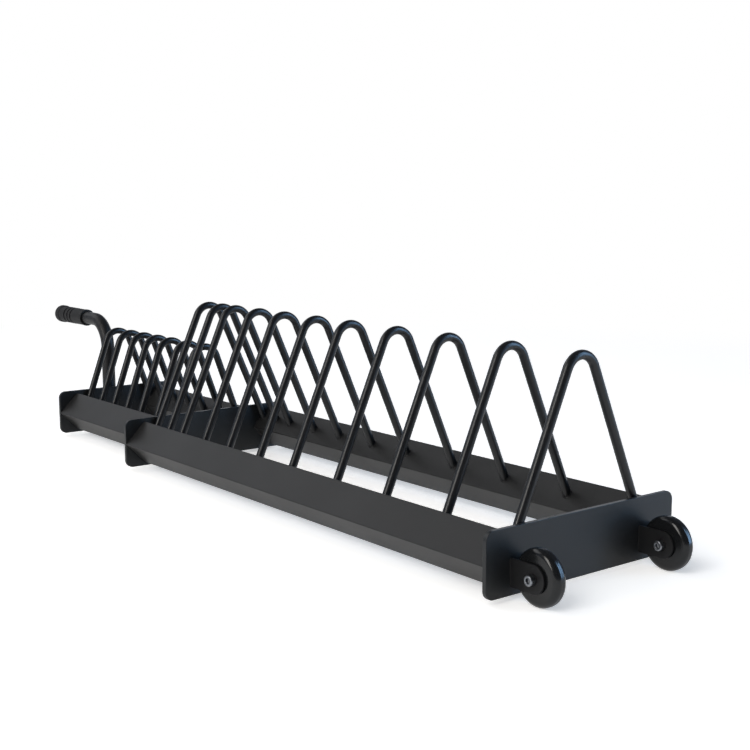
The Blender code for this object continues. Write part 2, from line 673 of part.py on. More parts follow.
def main():
    """Build the cart from the front plate back to the handle, then the wheels and the foot."""
    clear_scene()
    finishes = {
        "plate": make_material("plate_powder_coat", "2B2F34", 0.45),
        "rail": make_material("rail_powder_coat", "26282B", 0.45),
        "hoop": make_material("hoop_powder_coat", "1C1E21", 0.35),
        "handle": make_material("handle_powder_coat", "2A2B2D", 0.40),
        "grip": make_material("grip_rubber", "2E2E2F", 0.65),
        "ear": make_material("ear_powder_coat", "1B1C1E", 0.50),
        "tyre": make_material("tyre_polyurethane", "202124", 0.25),
        "core": make_material("core_nylon", "1A1A1B", 0.45),
        "bearing": make_material("bearing_steel", "9A9DA1", 0.30, 1.0),
        "fixing": make_material("fixing_zinc", "A6A9AD", 0.35, 1.0),
        "foot": make_material("foot_rubber", "151515", 0.80),
    }
    middle_x = -(CART_FRONT + CART_BACK) / 2
    cart = add_empty("cart_frame", None, (middle_x, 0.0, PLATE_CLEARANCE))

    add_plate("front_plate", LARGE_BAY_WIDTH, 0.0, finishes["plate"], cart)
    add_plate("middle_plate", LARGE_BAY_WIDTH, MIDDLE_PLATE_FRONT, finishes["plate"], cart)
    add_plate("rear_plate", SMALL_BAY_WIDTH, REAR_PLATE_FRONT, finishes["plate"], cart)
    add_rails("large_rail", LARGE_BAY_FRONT, LARGE_SLOTS, LARGE_RAIL_Y, finishes["rail"], cart)
    add_rails("small_rail", SMALL_BAY_FRONT, SMALL_SLOTS, SMALL_RAIL_Y, finishes["rail"], cart)

    large = hoop_mesh("large_hoop", LARGE_HOOP_TOP, LARGE_HOOP_SPREAD, LARGE_RAIL_Y, finishes["hoop"])
    small = hoop_mesh("small_hoop", SMALL_HOOP_TOP, SMALL_HOOP_SPREAD, SMALL_RAIL_Y, finishes["hoop"])
    add_hoops("large_hoop", LARGE_SLOTS, LARGE_BAY_FRONT, large, cart)
    add_hoops("small_hoop", SMALL_SLOTS, SMALL_BAY_FRONT, small, cart)

    add_handle_tube(finishes["handle"], cart)
    add_grip(finishes["grip"], cart)
    add_wheels(finishes, cart)
    add_foot(finishes["foot"], cart)


main()
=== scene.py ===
"""Looks of the weight plate cart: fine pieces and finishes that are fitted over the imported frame.

Units are metres and +Z is up. The wheels are at the +X end, the handle is at the -X end, and +Y is the
cart's left side. Each piece stands for one node of the frame and takes its place and its main sizes from
that node's box. Only the welds and the nuts' nylon rings are added. Each finish is named for the real
material and for how its surface was made.
"""

import logging
import math
from collections.abc import Callable, Sequence
from dataclasses import dataclass
from enum import Enum

import bmesh
import bpy
from mathutils import Matrix, Vector


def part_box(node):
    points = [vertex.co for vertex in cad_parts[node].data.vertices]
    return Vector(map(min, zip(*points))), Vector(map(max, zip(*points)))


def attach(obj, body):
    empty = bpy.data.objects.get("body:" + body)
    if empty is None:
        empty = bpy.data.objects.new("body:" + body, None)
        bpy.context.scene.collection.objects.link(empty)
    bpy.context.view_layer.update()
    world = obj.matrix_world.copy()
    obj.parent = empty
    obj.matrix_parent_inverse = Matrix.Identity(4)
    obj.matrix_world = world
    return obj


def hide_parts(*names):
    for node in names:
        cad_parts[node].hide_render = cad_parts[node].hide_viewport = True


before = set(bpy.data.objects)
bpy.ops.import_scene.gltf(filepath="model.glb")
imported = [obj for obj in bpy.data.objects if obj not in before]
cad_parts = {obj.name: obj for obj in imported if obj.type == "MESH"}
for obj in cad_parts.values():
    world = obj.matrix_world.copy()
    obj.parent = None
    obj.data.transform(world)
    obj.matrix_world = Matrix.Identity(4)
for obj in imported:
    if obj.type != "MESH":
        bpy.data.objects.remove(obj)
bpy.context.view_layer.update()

LOG = logging.getLogger("weight_plate_cart")
MM = 0.001
SEAT_GAP = 0.3 * MM
"""Gap that the frame leaves between welded pieces. The pieces here close it, as the welds do."""
EASE = 0.05 * MM
"""Least gap between two fitted pieces."""
MERGE = 0.001 * MM
"""Corners that lie closer together than this are joined."""
TURNS_FINE = 72
"""Steps of a full turn on pieces that are looked at closely."""
TURNS_PLAIN = 40
SHARP = math.radians(38.0)
"""Faces that meet at more than this angle are shaded apart."""
QUARTER = math.pi / 2
ALONG = Vector((1.0, 0.0, 0.0))
ACROSS = Vector((0.0, 1.0, 0.0))
ROUND_Y = Matrix.Rotation(QUARTER, 4, "X")
"""Turns a ring out of its own plane, XY, so that it goes round the Y axis."""

Point = tuple[float, float]
Colour = tuple[float, float, float, float]
Material = bpy.types.Material
Piece = bpy.types.Object
Socket = bpy.types.NodeSocket
Links = dict[str | int, Socket]
Values = dict[str | int, object]
BMesh = bmesh.types.BMesh
BMEdge = bmesh.types.BMEdge
BMVert = bmesh.types.BMVert


class Body(str, Enum):
    """The frame's moving bodies."""

    FRAME = "frame"
    WHEEL_LEFT = "wheel_left"
    WHEEL_RIGHT = "wheel_right"


class Side(Enum):
    """A side of the cart, as the nodes write it."""

    LEFT = "left"
    RIGHT = "right"

    @property
    def wheel(self) -> Body:
        """The body that turns on this side."""
        return Body.WHEEL_LEFT if self is Side.LEFT else Body.WHEEL_RIGHT


class Slot(str, Enum):
    """The record's material slots."""

    PLATE = "plate_paint"
    RAIL = "rail_paint"
    HOOP = "hoop_paint"
    HANDLE = "handle_paint"
    GRIP = "grip_rubber"
    EAR = "ear_paint"
    TYRE = "tyre"
    CORE = "core_nylon"
    BEARING = "bearing_steel"
    ZINC = "zinc"
    FOOT = "foot_rubber"


class Box:
    """The box of one of the frame's nodes."""

    def __init__(self, node: str) -> None:
        """Read the node's box."""
        self.low, self.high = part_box(node)

    @property
    def middle(self) -> Vector:
        """The middle of the box."""
        return (self.low + self.high) / 2

    @property
    def radius(self) -> float:
        """Half the height: the radius of a node that is round about Y."""
        return (self.high.z - self.low.z) / 2

    @property
    def half_width(self) -> float:
        """Half the size along Y."""
        return (self.high.y - self.low.y) / 2


# Colours and node trees


def linear(hex_colour: str, strength: float = 1.0) -> Colour:
    """Turn an sRGB colour into a linear one.

    Args:
        hex_colour: Six hex digits.
        strength: A factor on the linear colour.

    Returns:
        The linear colour with an alpha of 1.
    """
    parts = (int(hex_colour[start : start + 2], 16) / 255 for start in (0, 2, 4))
    red, green, blue = (p / 12.92 if p <= 0.04045 else ((p + 0.055) / 1.055) ** 2.4 for p in parts)
    return strength * red, strength * green, strength * blue, 1.0


class Nodes:
    """A node tree that grows by one node at a time."""

    def __init__(self, tree: bpy.types.NodeTree) -> None:
        """Take a tree to work on."""
        self.tree = tree

    def feed(self, node: bpy.types.Node, links: Links, values: Values) -> None:
        """Link and set a node's inputs.

        Args:
            node: The node.
            links: For an input's name or number, the output that feeds it.
            values: For an input's name or number, its value.
        """
        for socket, value in values.items():
            node.inputs[socket].default_value = value
        for socket, source in links.items():
            self.tree.links.new(source, node.inputs[socket])

    def add(
        self,
        kind: str,
        links: Links | None = None,
        values: Values | None = None,
        out: str | int = 0,
        **settings: object,
    ) -> Socket:
        """Add a node.

        Args:
            kind: The node's type.
            links: For an input's name or number, the output that feeds it.
            values: For an input's name or number, its value.
            out: The name or number of the output that is wanted.
            **settings: Properties of the node itself.

        Returns:
            That output.
        """
        node = self.tree.nodes.new(kind)
        for name, value in settings.items():
            setattr(node, name, value)
        self.feed(node, links or {}, values or {})
        return node.outputs[out]

    def compute(self, operation: str, *terms: Socket | float) -> Socket:
        """Add a math node.

        Args:
            operation: What it computes.
            *terms: What it works on, each an output or a number.

        Returns:
            Its result.
        """
        links = {place: term for place, term in enumerate(terms) if isinstance(term, Socket)}
        values = {place: term for place, term in enumerate(terms) if place not in links}
        return self.add("ShaderNodeMath", links, values, operation=operation)

    def noise(self, place: Socket, size: float, detail: float, **values: float) -> Socket:
        """Add a noise pattern with clouds of a given width and a number of finer layers."""
        inputs = {"Scale": 1 / size, "Detail": detail, **values}
        return self.add("ShaderNodeTexNoise", {"Vector": place}, inputs)

    def blend(self, factor: Socket, first: Colour, second: Colour) -> Socket:
        """Add a blend of two colours."""
        return self.add("ShaderNodeMix", {0: factor}, {6: first, 7: second}, 2, data_type="RGBA")

    def remap(self, value: Socket, start: Point, stop: Point, curve: str = "LINEAR") -> Socket:
        """Map one range to another.

        Args:
            value: What is mapped.
            start: The range that it comes from.
            stop: The range that it goes to.
            curve: How it goes from end to end.

        Returns:
            The mapped value.
        """
        names = ("From Min", "From Max", "To Min", "To Max")
        inputs = dict(zip(names, (*start, *stop)))
        return self.add("ShaderNodeMapRange", {"Value": value}, inputs, interpolation_type=curve)

    def relief(
        self, height: Socket, depth: float, strength: float = 1.0, under: Socket | None = None
    ) -> Socket:
        """Add a bump, which may lie on another one, and hand over its normal."""
        links = {"Height": height, "Normal": under} if under else {"Height": height}
        return self.add("ShaderNodeBump", links, {"Distance": depth, "Strength": strength})


class Surface(Nodes):
    """A material in the making. Its patterns lie in Object coordinates."""

    def __init__(self, name: str) -> None:
        """Make the material and look up its shader.

        Args:
            name: The material's name.
        """
        self.material = bpy.data.materials.new(name)
        self.material.use_nodes = True
        super().__init__(self.material.node_tree)
        self.shader = self.tree.nodes["Principled BSDF"]
        self.place = self.add("ShaderNodeTexCoord", out="Object")

    def centred(self, axle: Vector) -> Socket:
        """Coordinates that count from the middle of an axle."""
        return self.add("ShaderNodeMapping", {"Vector": self.place}, {"Location": [-part for part in axle]})

    def finished(self, links: Links, values: Values) -> Material:
        """Feed the shader and hand over the material."""
        self.feed(self.shader, links, values)
        return self.material


# Finishes


@dataclass(frozen=True)
class PowderCoat:
    """Polyester powder coat on mild steel, sprayed dry and baked.

    To the eye it is an even satin black. Its skin has a shallow orange peel about two millimetres
    across and a fine grain, which keep the highlights broad and a little broken.
    """

    name: str
    colour: str
    roughness: float = 0.48
    specular: float = 0.36
    peel_size: float = 2.4 * MM
    peel_depth: float = 0.012 * MM
    grain_size: float = 0.8 * MM
    """The real grain is about 0.1 mm, too fine to show, so it is drawn coarser."""
    grain_depth: float = 0.010 * MM
    cloud_size: float = 120 * MM
    """Width of the faint bands where the coat lies a little thicker."""
    cloud_limits: Point = (0.3, 0.7)
    duller: Point = (-0.03, 0.04)
    """How the roughness changes from band to band."""
    tones: Point = (0.72, 1.85)
    """Factors on the colour between which it is mottled."""

    def material(self) -> Material:
        """Make the coat's material.

        Returns:
            The material.
        """
        coat = Surface(self.name)
        cloud = coat.noise(coat.place, self.cloud_size, 3.0)
        grain = coat.noise(coat.place, self.grain_size, 2.0)
        peel = coat.noise(coat.place, self.peel_size, 1.0)
        mottle = coat.compute("MULTIPLY", cloud, grain)
        shade = coat.blend(mottle, *(linear(self.colour, tone) for tone in self.tones))
        limits = (self.roughness + self.duller[0], self.roughness + self.duller[1])
        gloss = coat.remap(cloud, self.cloud_limits, limits)
        waves = coat.relief(peel, self.peel_depth)
        skin = coat.relief(grain, self.grain_depth, under=waves)
        return coat.finished(
            {"Base Color": shade, "Roughness": gloss, "Normal": skin}, {"Specular IOR Level": self.specular}
        )


@dataclass(frozen=True)
class MouldedRubber:
    """Rubber that was moulded in a sandblasted tool.

    To the eye it is matt and dark, with a fine stipple that the tool leaves and a faint bloom in it.
    """

    name: str
    colour: str
    bloom: str
    roughness: float = 0.72
    specular: float = 0.40
    bloom_size: float = 14 * MM
    stipple_size: float = 0.7 * MM
    """The real stipple is about 0.2 mm, too fine to show, so it is drawn coarser."""
    stipple_depth: float = 0.05 * MM
    stipple_strength: float = 0.7

    def material(self) -> Material:
        """Make the rubber's material.

        Returns:
            The material.
        """
        rubber = Surface(self.name)
        bloom = rubber.noise(rubber.place, self.bloom_size, 4.0)
        scale = {"Scale": 1 / self.stipple_size}
        stipple = rubber.add("ShaderNodeTexVoronoi", {"Vector": rubber.place}, scale, "Distance")
        shade = rubber.blend(bloom, linear(self.colour), linear(self.bloom))
        relief = rubber.relief(stipple, self.stipple_depth, self.stipple_strength)
        return rubber.finished(
            {"Base Color": shade, "Normal": relief},
            {"Roughness": self.roughness, "Specular IOR Level": self.specular},
        )


@dataclass(frozen=True)
class CastPolyurethane:
    """Polyurethane tread, cast round the core in a polished mould.

    To the eye it is deep black and glossy, a little duller where the tread rolls on the floor, with
    faint scuffs.
    """

    name: str
    colour: str
    axle: Vector
    radius: float
    roughness: float = 0.14
    tread_roughness: float = 0.20
    tread_depth: float = 3.5 * MM
    """How far in from its greatest radius the tyre is worn."""
    specular: float = 0.40
    scuff_size: float = 3 * MM
    scuff_depth: float = 0.004 * MM
    scuff_dulls: float = 0.06
    scuff_pales: float = 1.5

    def material(self) -> Material:
        """Make the tread's material.

        Returns:
            The material.
        """
        cast = Surface(self.name)
        centred = cast.centred(self.axle)
        flat = cast.add("ShaderNodeVectorMath", {0: centred}, {1: (1.0, 0.0, 1.0)}, operation="MULTIPLY")
        reach = cast.add("ShaderNodeVectorMath", {0: flat}, out="Value", operation="LENGTH")
        scuff = cast.noise(centred, self.scuff_size, 5.0, Roughness=0.65)
        worn = (self.radius - self.tread_depth, self.radius)
        tread = cast.remap(reach, worn, (self.roughness, self.tread_roughness))
        gloss = cast.compute("MULTIPLY_ADD", scuff, self.scuff_dulls, tread)
        shade = cast.blend(scuff, linear(self.colour), linear(self.colour, self.scuff_pales))
        relief = cast.relief(scuff, self.scuff_depth)
        return cast.finished(
            {"Base Color": shade, "Roughness": gloss, "Normal": relief},
            {"Specular IOR Level": self.specular},
        )


@dataclass(frozen=True)
class MouldedNylon:
    """Glass-filled nylon, injection moulded.

    To the eye it is a plain dark plastic with a low sheen and faint flow marks.
    """

    name: str
    colour: str
    roughness: float = 0.45
    ior: float = 1.53
    flow_size: float = 5 * MM
    flow_bend: float = 0.8
    flow_depth: float = 0.01 * MM
    flow_pales: float = 1.6

    def material(self) -> Material:
        """Make the nylon's material.

        Returns:
            The material.
        """
        nylon = Surface(self.name)
        flow = nylon.noise(nylon.place, self.flow_size, 3.0, Distortion=self.flow_bend)
        shade = nylon.blend(flow, linear(self.colour), linear(self.colour, self.flow_pales))
        relief = nylon.relief(flow, self.flow_depth)
        return nylon.finished(
            {"Base Color": shade, "Normal": relief}, {"Roughness": self.roughness, "IOR": self.ior}
        )


@dataclass(frozen=True)
class TurnedMetal:
    """Steel that was turned or cold headed round an axle, then plated or ground.

    To the eye it is a silver metal with fine rings round the axle and slightly cloudy plating.
    """

    name: str
    colour: str
    cloud: str
    axle: Vector
    roughness: float
    duller: Point = (-0.06, 0.12)
    """How the roughness changes with the haze."""
    haze_size: float = 1.8 * MM
    ring_scale: float = 0.1 / (0.35 * MM)
    """Scale that sets the rings 1.1 mm apart. Real feed marks are under 0.1 mm, too fine to show."""
    ring_waver: float = 0.6
    ring_depth: float = 0.006 * MM

    def material(self) -> Material:
        """Make the metal's material.

        Returns:
            The material.
        """
        metal = Surface(self.name)
        rings = metal.add(
            "ShaderNodeTexWave",
            {"Vector": metal.centred(self.axle)},
            {"Scale": self.ring_scale, "Distortion": self.ring_waver, "Detail": 1.0},
            "Fac",
            wave_type="RINGS",
            rings_direction="Y",
        )
        haze = metal.noise(metal.place, self.haze_size, 4.0)
        shade = metal.blend(haze, linear(self.colour), linear(self.cloud))
        limits = (self.roughness + self.duller[0], self.roughness + self.duller[1])
        gloss = metal.remap(haze, (0.0, 1.0), limits)
        relief = metal.relief(rings, self.ring_depth)
        return metal.finished(
            {"Base Color": shade, "Roughness": gloss, "Normal": relief}, {"Metallic": 1.0}
        )


def show(shape: BMesh, name: str, material: Material) -> Piece:
    """Turn a bmesh into an object of the scene.

    Args:
        shape: The bmesh, which is freed.
        name: The object's name.
        material: Its material.

    Returns:
        The object.
    """
    mesh = bpy.data.meshes.new(name)
    shape.to_mesh(mesh)
    shape.free()
    mesh.materials.append(material)
    thing = bpy.data.objects.new(name, mesh)
    bpy.context.scene.collection.objects.link(thing)
    return thing


@dataclass(frozen=True)
class Dressing:
    """A finish as it is put on pieces."""

    material: Material
    slot: Slot
    made: str
    """How the pieces' surface was made. The names of pieces that stand for a node end with it."""

    def put_on(self, shape: BMesh, node: str, body: Body = Body.FRAME) -> Piece:
        """Finish a piece that stands for a node."""
        return self.finish(shape, f"{node}_{self.made}", body, [node])

    def finish(
        self, shape: BMesh, name: str, body: Body = Body.FRAME, nodes: Sequence[str] = ()
    ) -> Piece:
        """Turn a bmesh into a piece that rides on a body, with its place in its mesh.

        Args:
            shape: The bmesh, which is freed.
            name: The piece's name.
            body: The body it rides on.
            nodes: The frame's nodes that it stands for.

        Returns:
            The finished piece.
        """
        bmesh.ops.remove_doubles(shape, verts=shape.verts, dist=MERGE)
        bmesh.ops.recalc_face_normals(shape, faces=shape.faces)
        piece = show(shape, name, self.material)
        piece.data.shade_smooth()
        piece.data.set_sharp_from_angle(angle=SHARP)
        flats = piece.modifiers.new("flat_faces_stay_flat", "WEIGHTED_NORMAL")
        flats.keep_sharp = True
        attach(piece, body.value)
        if nodes:
            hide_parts(*nodes)
        return piece


# Shape helpers


def arc(centre: Point, radius: float, start: float, stop: float, steps: int) -> list[Point]:
    """Points along an arc between two angles in radians, with both ends."""
    angles = [start + (stop - start) * step / steps for step in range(steps + 1)]
    return [(centre[0] + radius * math.cos(angle), centre[1] + radius * math.sin(angle)) for angle in angles]


def mirrored(profile: Sequence[Point]) -> list[Point]:
    """A profile's mirror image across its middle, which runs on from its last point."""
    return [(radius, -along) for radius, along in reversed(profile)]


def edges_in(parts: Sequence[object]) -> list[BMEdge]:
    """The edges among the parts that an operator returns."""
    return [part for part in parts if isinstance(part, BMEdge)]


def corners_of(edges: Sequence[BMEdge]) -> list[BMVert]:
    """The vertices that a set of edges joins."""
    return list(dict.fromkeys(corner for edge in edges for corner in edge.verts))


def everything(shape: BMesh) -> list[object]:
    """All the vertices, edges and faces of a shape."""
    return [*shape.verts, *shape.edges, *shape.faces]


def facing(tangent: Vector, spot: Vector) -> Matrix:
    """A matrix that puts a circle's plane square to a tangent at a spot."""
    return Matrix.Translation(spot) @ tangent.to_track_quat("Z", "Y").to_matrix().to_4x4()


def add_ring(shape: BMesh, radius: float, sides: int, place: Matrix) -> list[BMEdge]:
    """Add an open circle, whose own plane is XY, and hand over its edges."""
    made = bmesh.ops.create_circle(shape, cap_ends=False, segments=sides, radius=radius, matrix=place)
    return list(dict.fromkeys(edge for corner in made["verts"] for edge in corner.link_edges))


def bridge(shape: BMesh, rings: Sequence[Sequence[BMEdge]], closed: bool = False) -> None:
    """Join rings by bands of faces, in order and, if closed, from the last to the first one too."""
    for first, second in zip(rings, [*rings[1:], rings[0]] if closed else rings[1:]):
        bmesh.ops.bridge_loops(shape, edges=[*first, *second])


def push(shape: BMesh, edges: Sequence[BMEdge], by: Vector) -> list[BMEdge]:
    """Extrude a loop of edges in a straight line.

    Args:
        shape: The bmesh that holds them.
        edges: The loop.
        by: How far it moves.

    Returns:
        The loop's copy at the far end.
    """
    ends = edges_in(bmesh.ops.extrude_edge_only(shape, edges=edges)["geom"])
    bmesh.ops.translate(shape, vec=by, verts=corners_of(ends))
    return ends


def swing(
    shape: BMesh, edges: Sequence[BMEdge], centre: Vector, axis: Vector, angle: float, steps: int
) -> list[BMEdge]:
    """Extrude a loop of edges round a bend.

    Args:
        shape: The bmesh that holds them.
        edges: The loop.
        centre: A point on the bend's axis.
        axis: The bend's axis.
        angle: The bend's angle, in radians.
        steps: How many steps the bend has.

    Returns:
        The loop's copy at the far end.
    """
    geom = [*corners_of(edges), *edges]
    made = bmesh.ops.spin(
        shape, geom=geom, cent=centre, axis=axis, angle=angle, steps=steps, use_merge=False
    )
    return edges_in(made["geom_last"])


def thicken(shape: BMesh, width: float) -> None:
    """Extrude a flat shape along Y.

    Args:
        shape: The bmesh that holds it.
        width: How far it is extruded.
    """
    pushed = bmesh.ops.extrude_face_region(shape, geom=list(shape.faces))["geom"]
    far = [part for part in pushed if isinstance(part, BMVert)]
    bmesh.ops.translate(shape, vec=ACROSS * width, verts=far)


def lathe(profile: Sequence[Point], steps: int, place: Matrix, closed: bool = True) -> BMesh:
    """Spin a profile all the way round the Y axis.

    Args:
        profile: Points as (radius, distance along the axis).
        steps: Steps of the turn.
        place: Where the turned shape goes.
        closed: Whether the profile is a closed loop.

    Returns:
        A bmesh that holds the turned shape.
    """
    shape = bmesh.new()
    corners = [shape.verts.new((radius, along, 0.0)) for radius, along in profile]
    pairs = zip(corners, [*corners[1:], corners[0]] if closed else corners[1:])
    geom = [*corners, *[shape.edges.new(pair) for pair in pairs]]
    bmesh.ops.spin(
        shape, geom=geom, cent=(0.0, 0.0, 0.0), axis=ACROSS, angle=math.tau, steps=steps, use_merge=True
    )
    bmesh.ops.remove_doubles(shape, verts=shape.verts, dist=MERGE)
    bmesh.ops.recalc_face_normals(shape, faces=shape.faces)
    bmesh.ops.transform(shape, matrix=place, verts=shape.verts)
    return shape


def soften(
    shape: BMesh,
    width: float,
    segments: int = 2,
    sharper_than: float = 40.0,
    chosen: Callable[[BMEdge], bool] | None = None,
) -> None:
    """Round a shape's sharp edges.

    Args:
        shape: The bmesh.
        width: The rounding's width.
        segments: The rounding's steps.
        sharper_than: Edges whose faces meet at less than this angle, in degrees, are left.
        chosen: A further test that an edge has to pass.
    """
    least = math.radians(sharper_than)
    folds = [edge for edge in shape.edges if len(edge.link_faces) == 2 and edge.calc_face_angle(0.0) > least]
    bmesh.ops.bevel(
        shape,
        geom=[edge for edge in folds if chosen is None or chosen(edge)],
        offset=width,
        offset_type="OFFSET",
        segments=segments,
        profile=0.5,
        affect="EDGES",
        material=-1,
        clamp_overlap=True,
    )


def runs_along(edge: BMEdge) -> bool:
    """Whether an edge runs along the cart."""
    run = edge.verts[1].co - edge.verts[0].co
    return run.length > 0 and abs(run.normalized().dot(ALONG)) > 0.999


def join_into(target: BMesh, source: BMesh) -> None:
    """Move everything in one bmesh into another.

    Args:
        target: The bmesh that gets it.
        source: The bmesh that had it, which is freed.
    """
    carrier = bpy.data.meshes.new("carrier")
    source.to_mesh(carrier)
    source.free()
    target.from_mesh(carrier)
    bpy.data.meshes.remove(carrier)


@dataclass(frozen=True)
class WeldBead:
    """A fillet weld under the coat: a slim rippled bead that closes the seam between two pieces."""

    radius: float
    bare: float = 0.0
    """Share of a straight seam that stays bare at each end."""
    steps: int = 1
    """Steps along a straight seam."""
    ripple: float = 0.08
    """How much thinner the bead is between two ripples."""
    tip: float = 0.5
    """Share of its radius that an open bead has at its ends."""
    sides: int = 8

    def lay(self, shape: BMesh, seam: Sequence[Vector], closed: bool = True) -> None:
        """Lay a bead along a seam.

        Args:
            shape: The bmesh that gets the bead.
            seam: Points along the seam.
            closed: Whether the seam runs back to its start.
        """
        count = len(seam)
        rings = []
        for number, spot in enumerate(seam):
            before = seam[number - 1] if closed or number else spot
            after = seam[(number + 1) % count] if closed or number < count - 1 else spot
            radius = self.radius * (1 - self.ripple * (number % 2))
            if not closed and number in (0, count - 1):
                radius *= self.tip
            rings.append(add_ring(shape, radius, self.sides, facing((after - before).normalized(), spot)))
        bridge(shape, rings, closed)
        if not closed:
            bmesh.ops.holes_fill(shape, edges=[*rings[0], *rings[-1]], sides=self.sides)

    def lay_straight(self, shape: BMesh, start: Vector, stop: Vector) -> None:
        """Lay an open bead along a straight seam."""
        shares = [self.bare + (1 - 2 * self.bare) * step / self.steps for step in range(self.steps + 1)]
        self.lay(shape, [start.lerp(stop, share) for share in shares], closed=False)


# Plates and rails


@dataclass
class Plates:
    """The three flat plates that close the two bays, laser cut with round corners."""

    coat: Dressing
    nodes: tuple[str, ...] = ("front_plate", "middle_plate", "rear_plate")
    corner: float = 12 * MM
    corner_steps: int = 14
    edge_round: float = 0.5 * MM

    def build(self) -> list[Piece]:
        """Build a piece for each plate."""
        return [self.build_plate(node) for node in self.nodes]

    def build_plate(self, node: str) -> Piece:
        """Build one plate in its node's box.

        Args:
            node: The node it stands for.

        Returns:
            The plate.
        """
        box = Box(node)
        shape = bmesh.new()
        place = Matrix.Translation(box.middle) @ Matrix.Diagonal((*(box.high - box.low), 1.0))
        bmesh.ops.create_cube(shape, size=1.0, matrix=place)
        soften(shape, self.corner, self.corner_steps, chosen=runs_along)
        soften(shape, self.edge_round, 3, sharper_than=60.0)
        return self.coat.put_on(shape, node)


@dataclass
class Rails:
    """The four square tubes, each standing on its corner between two plates."""

    coat: Dressing
    nodes: tuple[str, ...] = ("large_rail_left", "large_rail_right", "small_rail_left", "small_rail_right")
    side: float = 50 * MM
    wall: float = 2.5 * MM
    corner: float = 1.8 * MM
    corner_steps: int = 6
    bead: WeldBead = WeldBead(1.2 * MM, bare=0.08, steps=36)

    @property
    def half_diagonal(self) -> float:
        """Distance from a rail's axis to its corner, before the corner is rounded."""
        return self.side / math.sqrt(2)

    def build(self) -> list[Piece]:
        """Build a piece for each rail, then one with the welds."""
        return [*[self.build_rail(node) for node in self.nodes], self.build_welds()]

    def build_rail(self, node: str) -> Piece:
        """Build one rail, which reaches the plates that the frame leaves a small gap to.

        Args:
            node: The node it stands for.

        Returns:
            The rail.
        """
        box = Box(node)
        length = box.high.x - box.low.x + 2 * SEAT_GAP
        size = Matrix.Diagonal((length, self.side, self.side, 1.0))
        place = Matrix.Translation(box.middle) @ Matrix.Rotation(math.radians(45.0), 4, "X") @ size
        shape = bmesh.new()
        bmesh.ops.create_cube(shape, size=1.0, matrix=place)
        ends = [face for face in shape.faces if abs(face.normal.x) > 0.9]
        bmesh.ops.delete(shape, geom=ends, context="FACES")
        soften(shape, self.corner, self.corner_steps, chosen=runs_along)
        bmesh.ops.recalc_face_normals(shape, faces=shape.faces)
        bmesh.ops.solidify(shape, geom=list(shape.faces), thickness=self.wall)
        return self.coat.put_on(shape, node)

    def build_welds(self) -> Piece:
        """Lay the welds that join the rails' inner faces to the plates.

        Returns:
            One piece that holds every bead.
        """
        shape = bmesh.new()
        for box in map(Box, self.nodes):
            axis = box.middle
            inward = -1.0 if axis.y > 0 else 1.0
            for end in (box.low.x - SEAT_GAP, box.high.x + SEAT_GAP):
                for up in (1.0, -1.0):
                    start = Vector((end, axis.y, axis.z + up * self.half_diagonal))
                    stop = Vector((end, axis.y + inward * self.half_diagonal, axis.z))
                    self.bead.lay_straight(shape, start, stop)
        return self.coat.finish(shape, "rail_welds")


# Hoops


@dataclass
class HoopRow:
    """A row of equal hoops, each a round bar bent over one crown and welded to two rails."""

    coat: Dressing
    prefix: str
    count: int
    rail: str
    rails: Rails
    foot_reach: float
    """Distance outwards from the rail's inner corner to the middle of a foot."""
    bend: float = 25 * MM
    bead: WeldBead = WeldBead(0.9 * MM)
    sides: int = 32
    crown_steps: int = 16

    def build(self) -> list[Piece]:
        """Build the row.

        Returns:
            A piece for each hoop, then one with the welds at their feet.
        """
        welds = bmesh.new()
        pieces = []
        for number in range(1, self.count + 1):
            node = f"{self.prefix}_{number:02d}"
            shape, seam = self.bend_hoop(node)
            for way in (1.0, -1.0):
                self.bead.lay(welds, [Vector((spot.x, way * spot.y, spot.z)) for spot in seam])
            pieces.append(self.coat.put_on(shape, node))
        return [*pieces, self.rails.coat.finish(welds, f"{self.prefix}_welds")]

    def bend_hoop(self, node: str) -> tuple[BMesh, list[Vector]]:
        """Bend one hoop: half of it is bent, cut to the rail's face and then mirrored.

        Args:
            node: The node it stands for.

        Returns:
            The hoop, and the seam round its left foot.
        """
        box = Box(node)
        rod = (box.high.x - box.low.x) / 2
        top = Vector((box.middle.x, 0.0, box.high.z - rod))
        rail_axis = Box(self.rail).middle
        foot_y = rail_axis.y - self.rails.half_diagonal + self.foot_reach
        arc_centre = Vector((top.x, 0.0, box.high.z - rod - self.bend))
        foot = Vector((top.x, foot_y, rail_axis.z + self.foot_reach))
        reach = foot - arc_centre
        turn = math.atan2(reach.y, reach.z) - math.acos(self.bend / reach.length)
        leg = Vector((0.0, math.cos(turn), -math.sin(turn)))

        shape = bmesh.new()
        ring = add_ring(shape, rod, self.sides, facing(ACROSS, top))
        ring = swing(shape, ring, arc_centre, -ALONG, turn, self.crown_steps)
        push(shape, ring, leg * (reach.length + 2 * rod))
        rail_face = Vector((0.0, -1.0, 1.0)).normalized()
        cut = bmesh.ops.bisect_plane(
            shape, geom=everything(shape), plane_co=foot, plane_no=rail_face, clear_inner=True
        )
        rim = edges_in(cut["geom_cut"])
        seam = self.in_order(rim)
        bmesh.ops.contextual_create(shape, geom=rim)
        bmesh.ops.mirror(shape, geom=everything(shape), axis="Y", merge_dist=MERGE)
        return shape, seam

    @staticmethod
    def in_order(rim: Sequence[BMEdge]) -> list[Vector]:
        """The corners of a closed rim, one after the other.

        Args:
            rim: The rim's edges in any order.

        Returns:
            The corners' places, as they lie round the rim.
        """
        edge = rim[0]
        spot = edge.verts[0]
        path = []
        for _ in rim:
            path.append(spot.co.copy())
            spot = edge.other_vert(spot)
            edge = next(other for other in spot.link_edges if other in rim and other is not edge)
        return path


# Handle


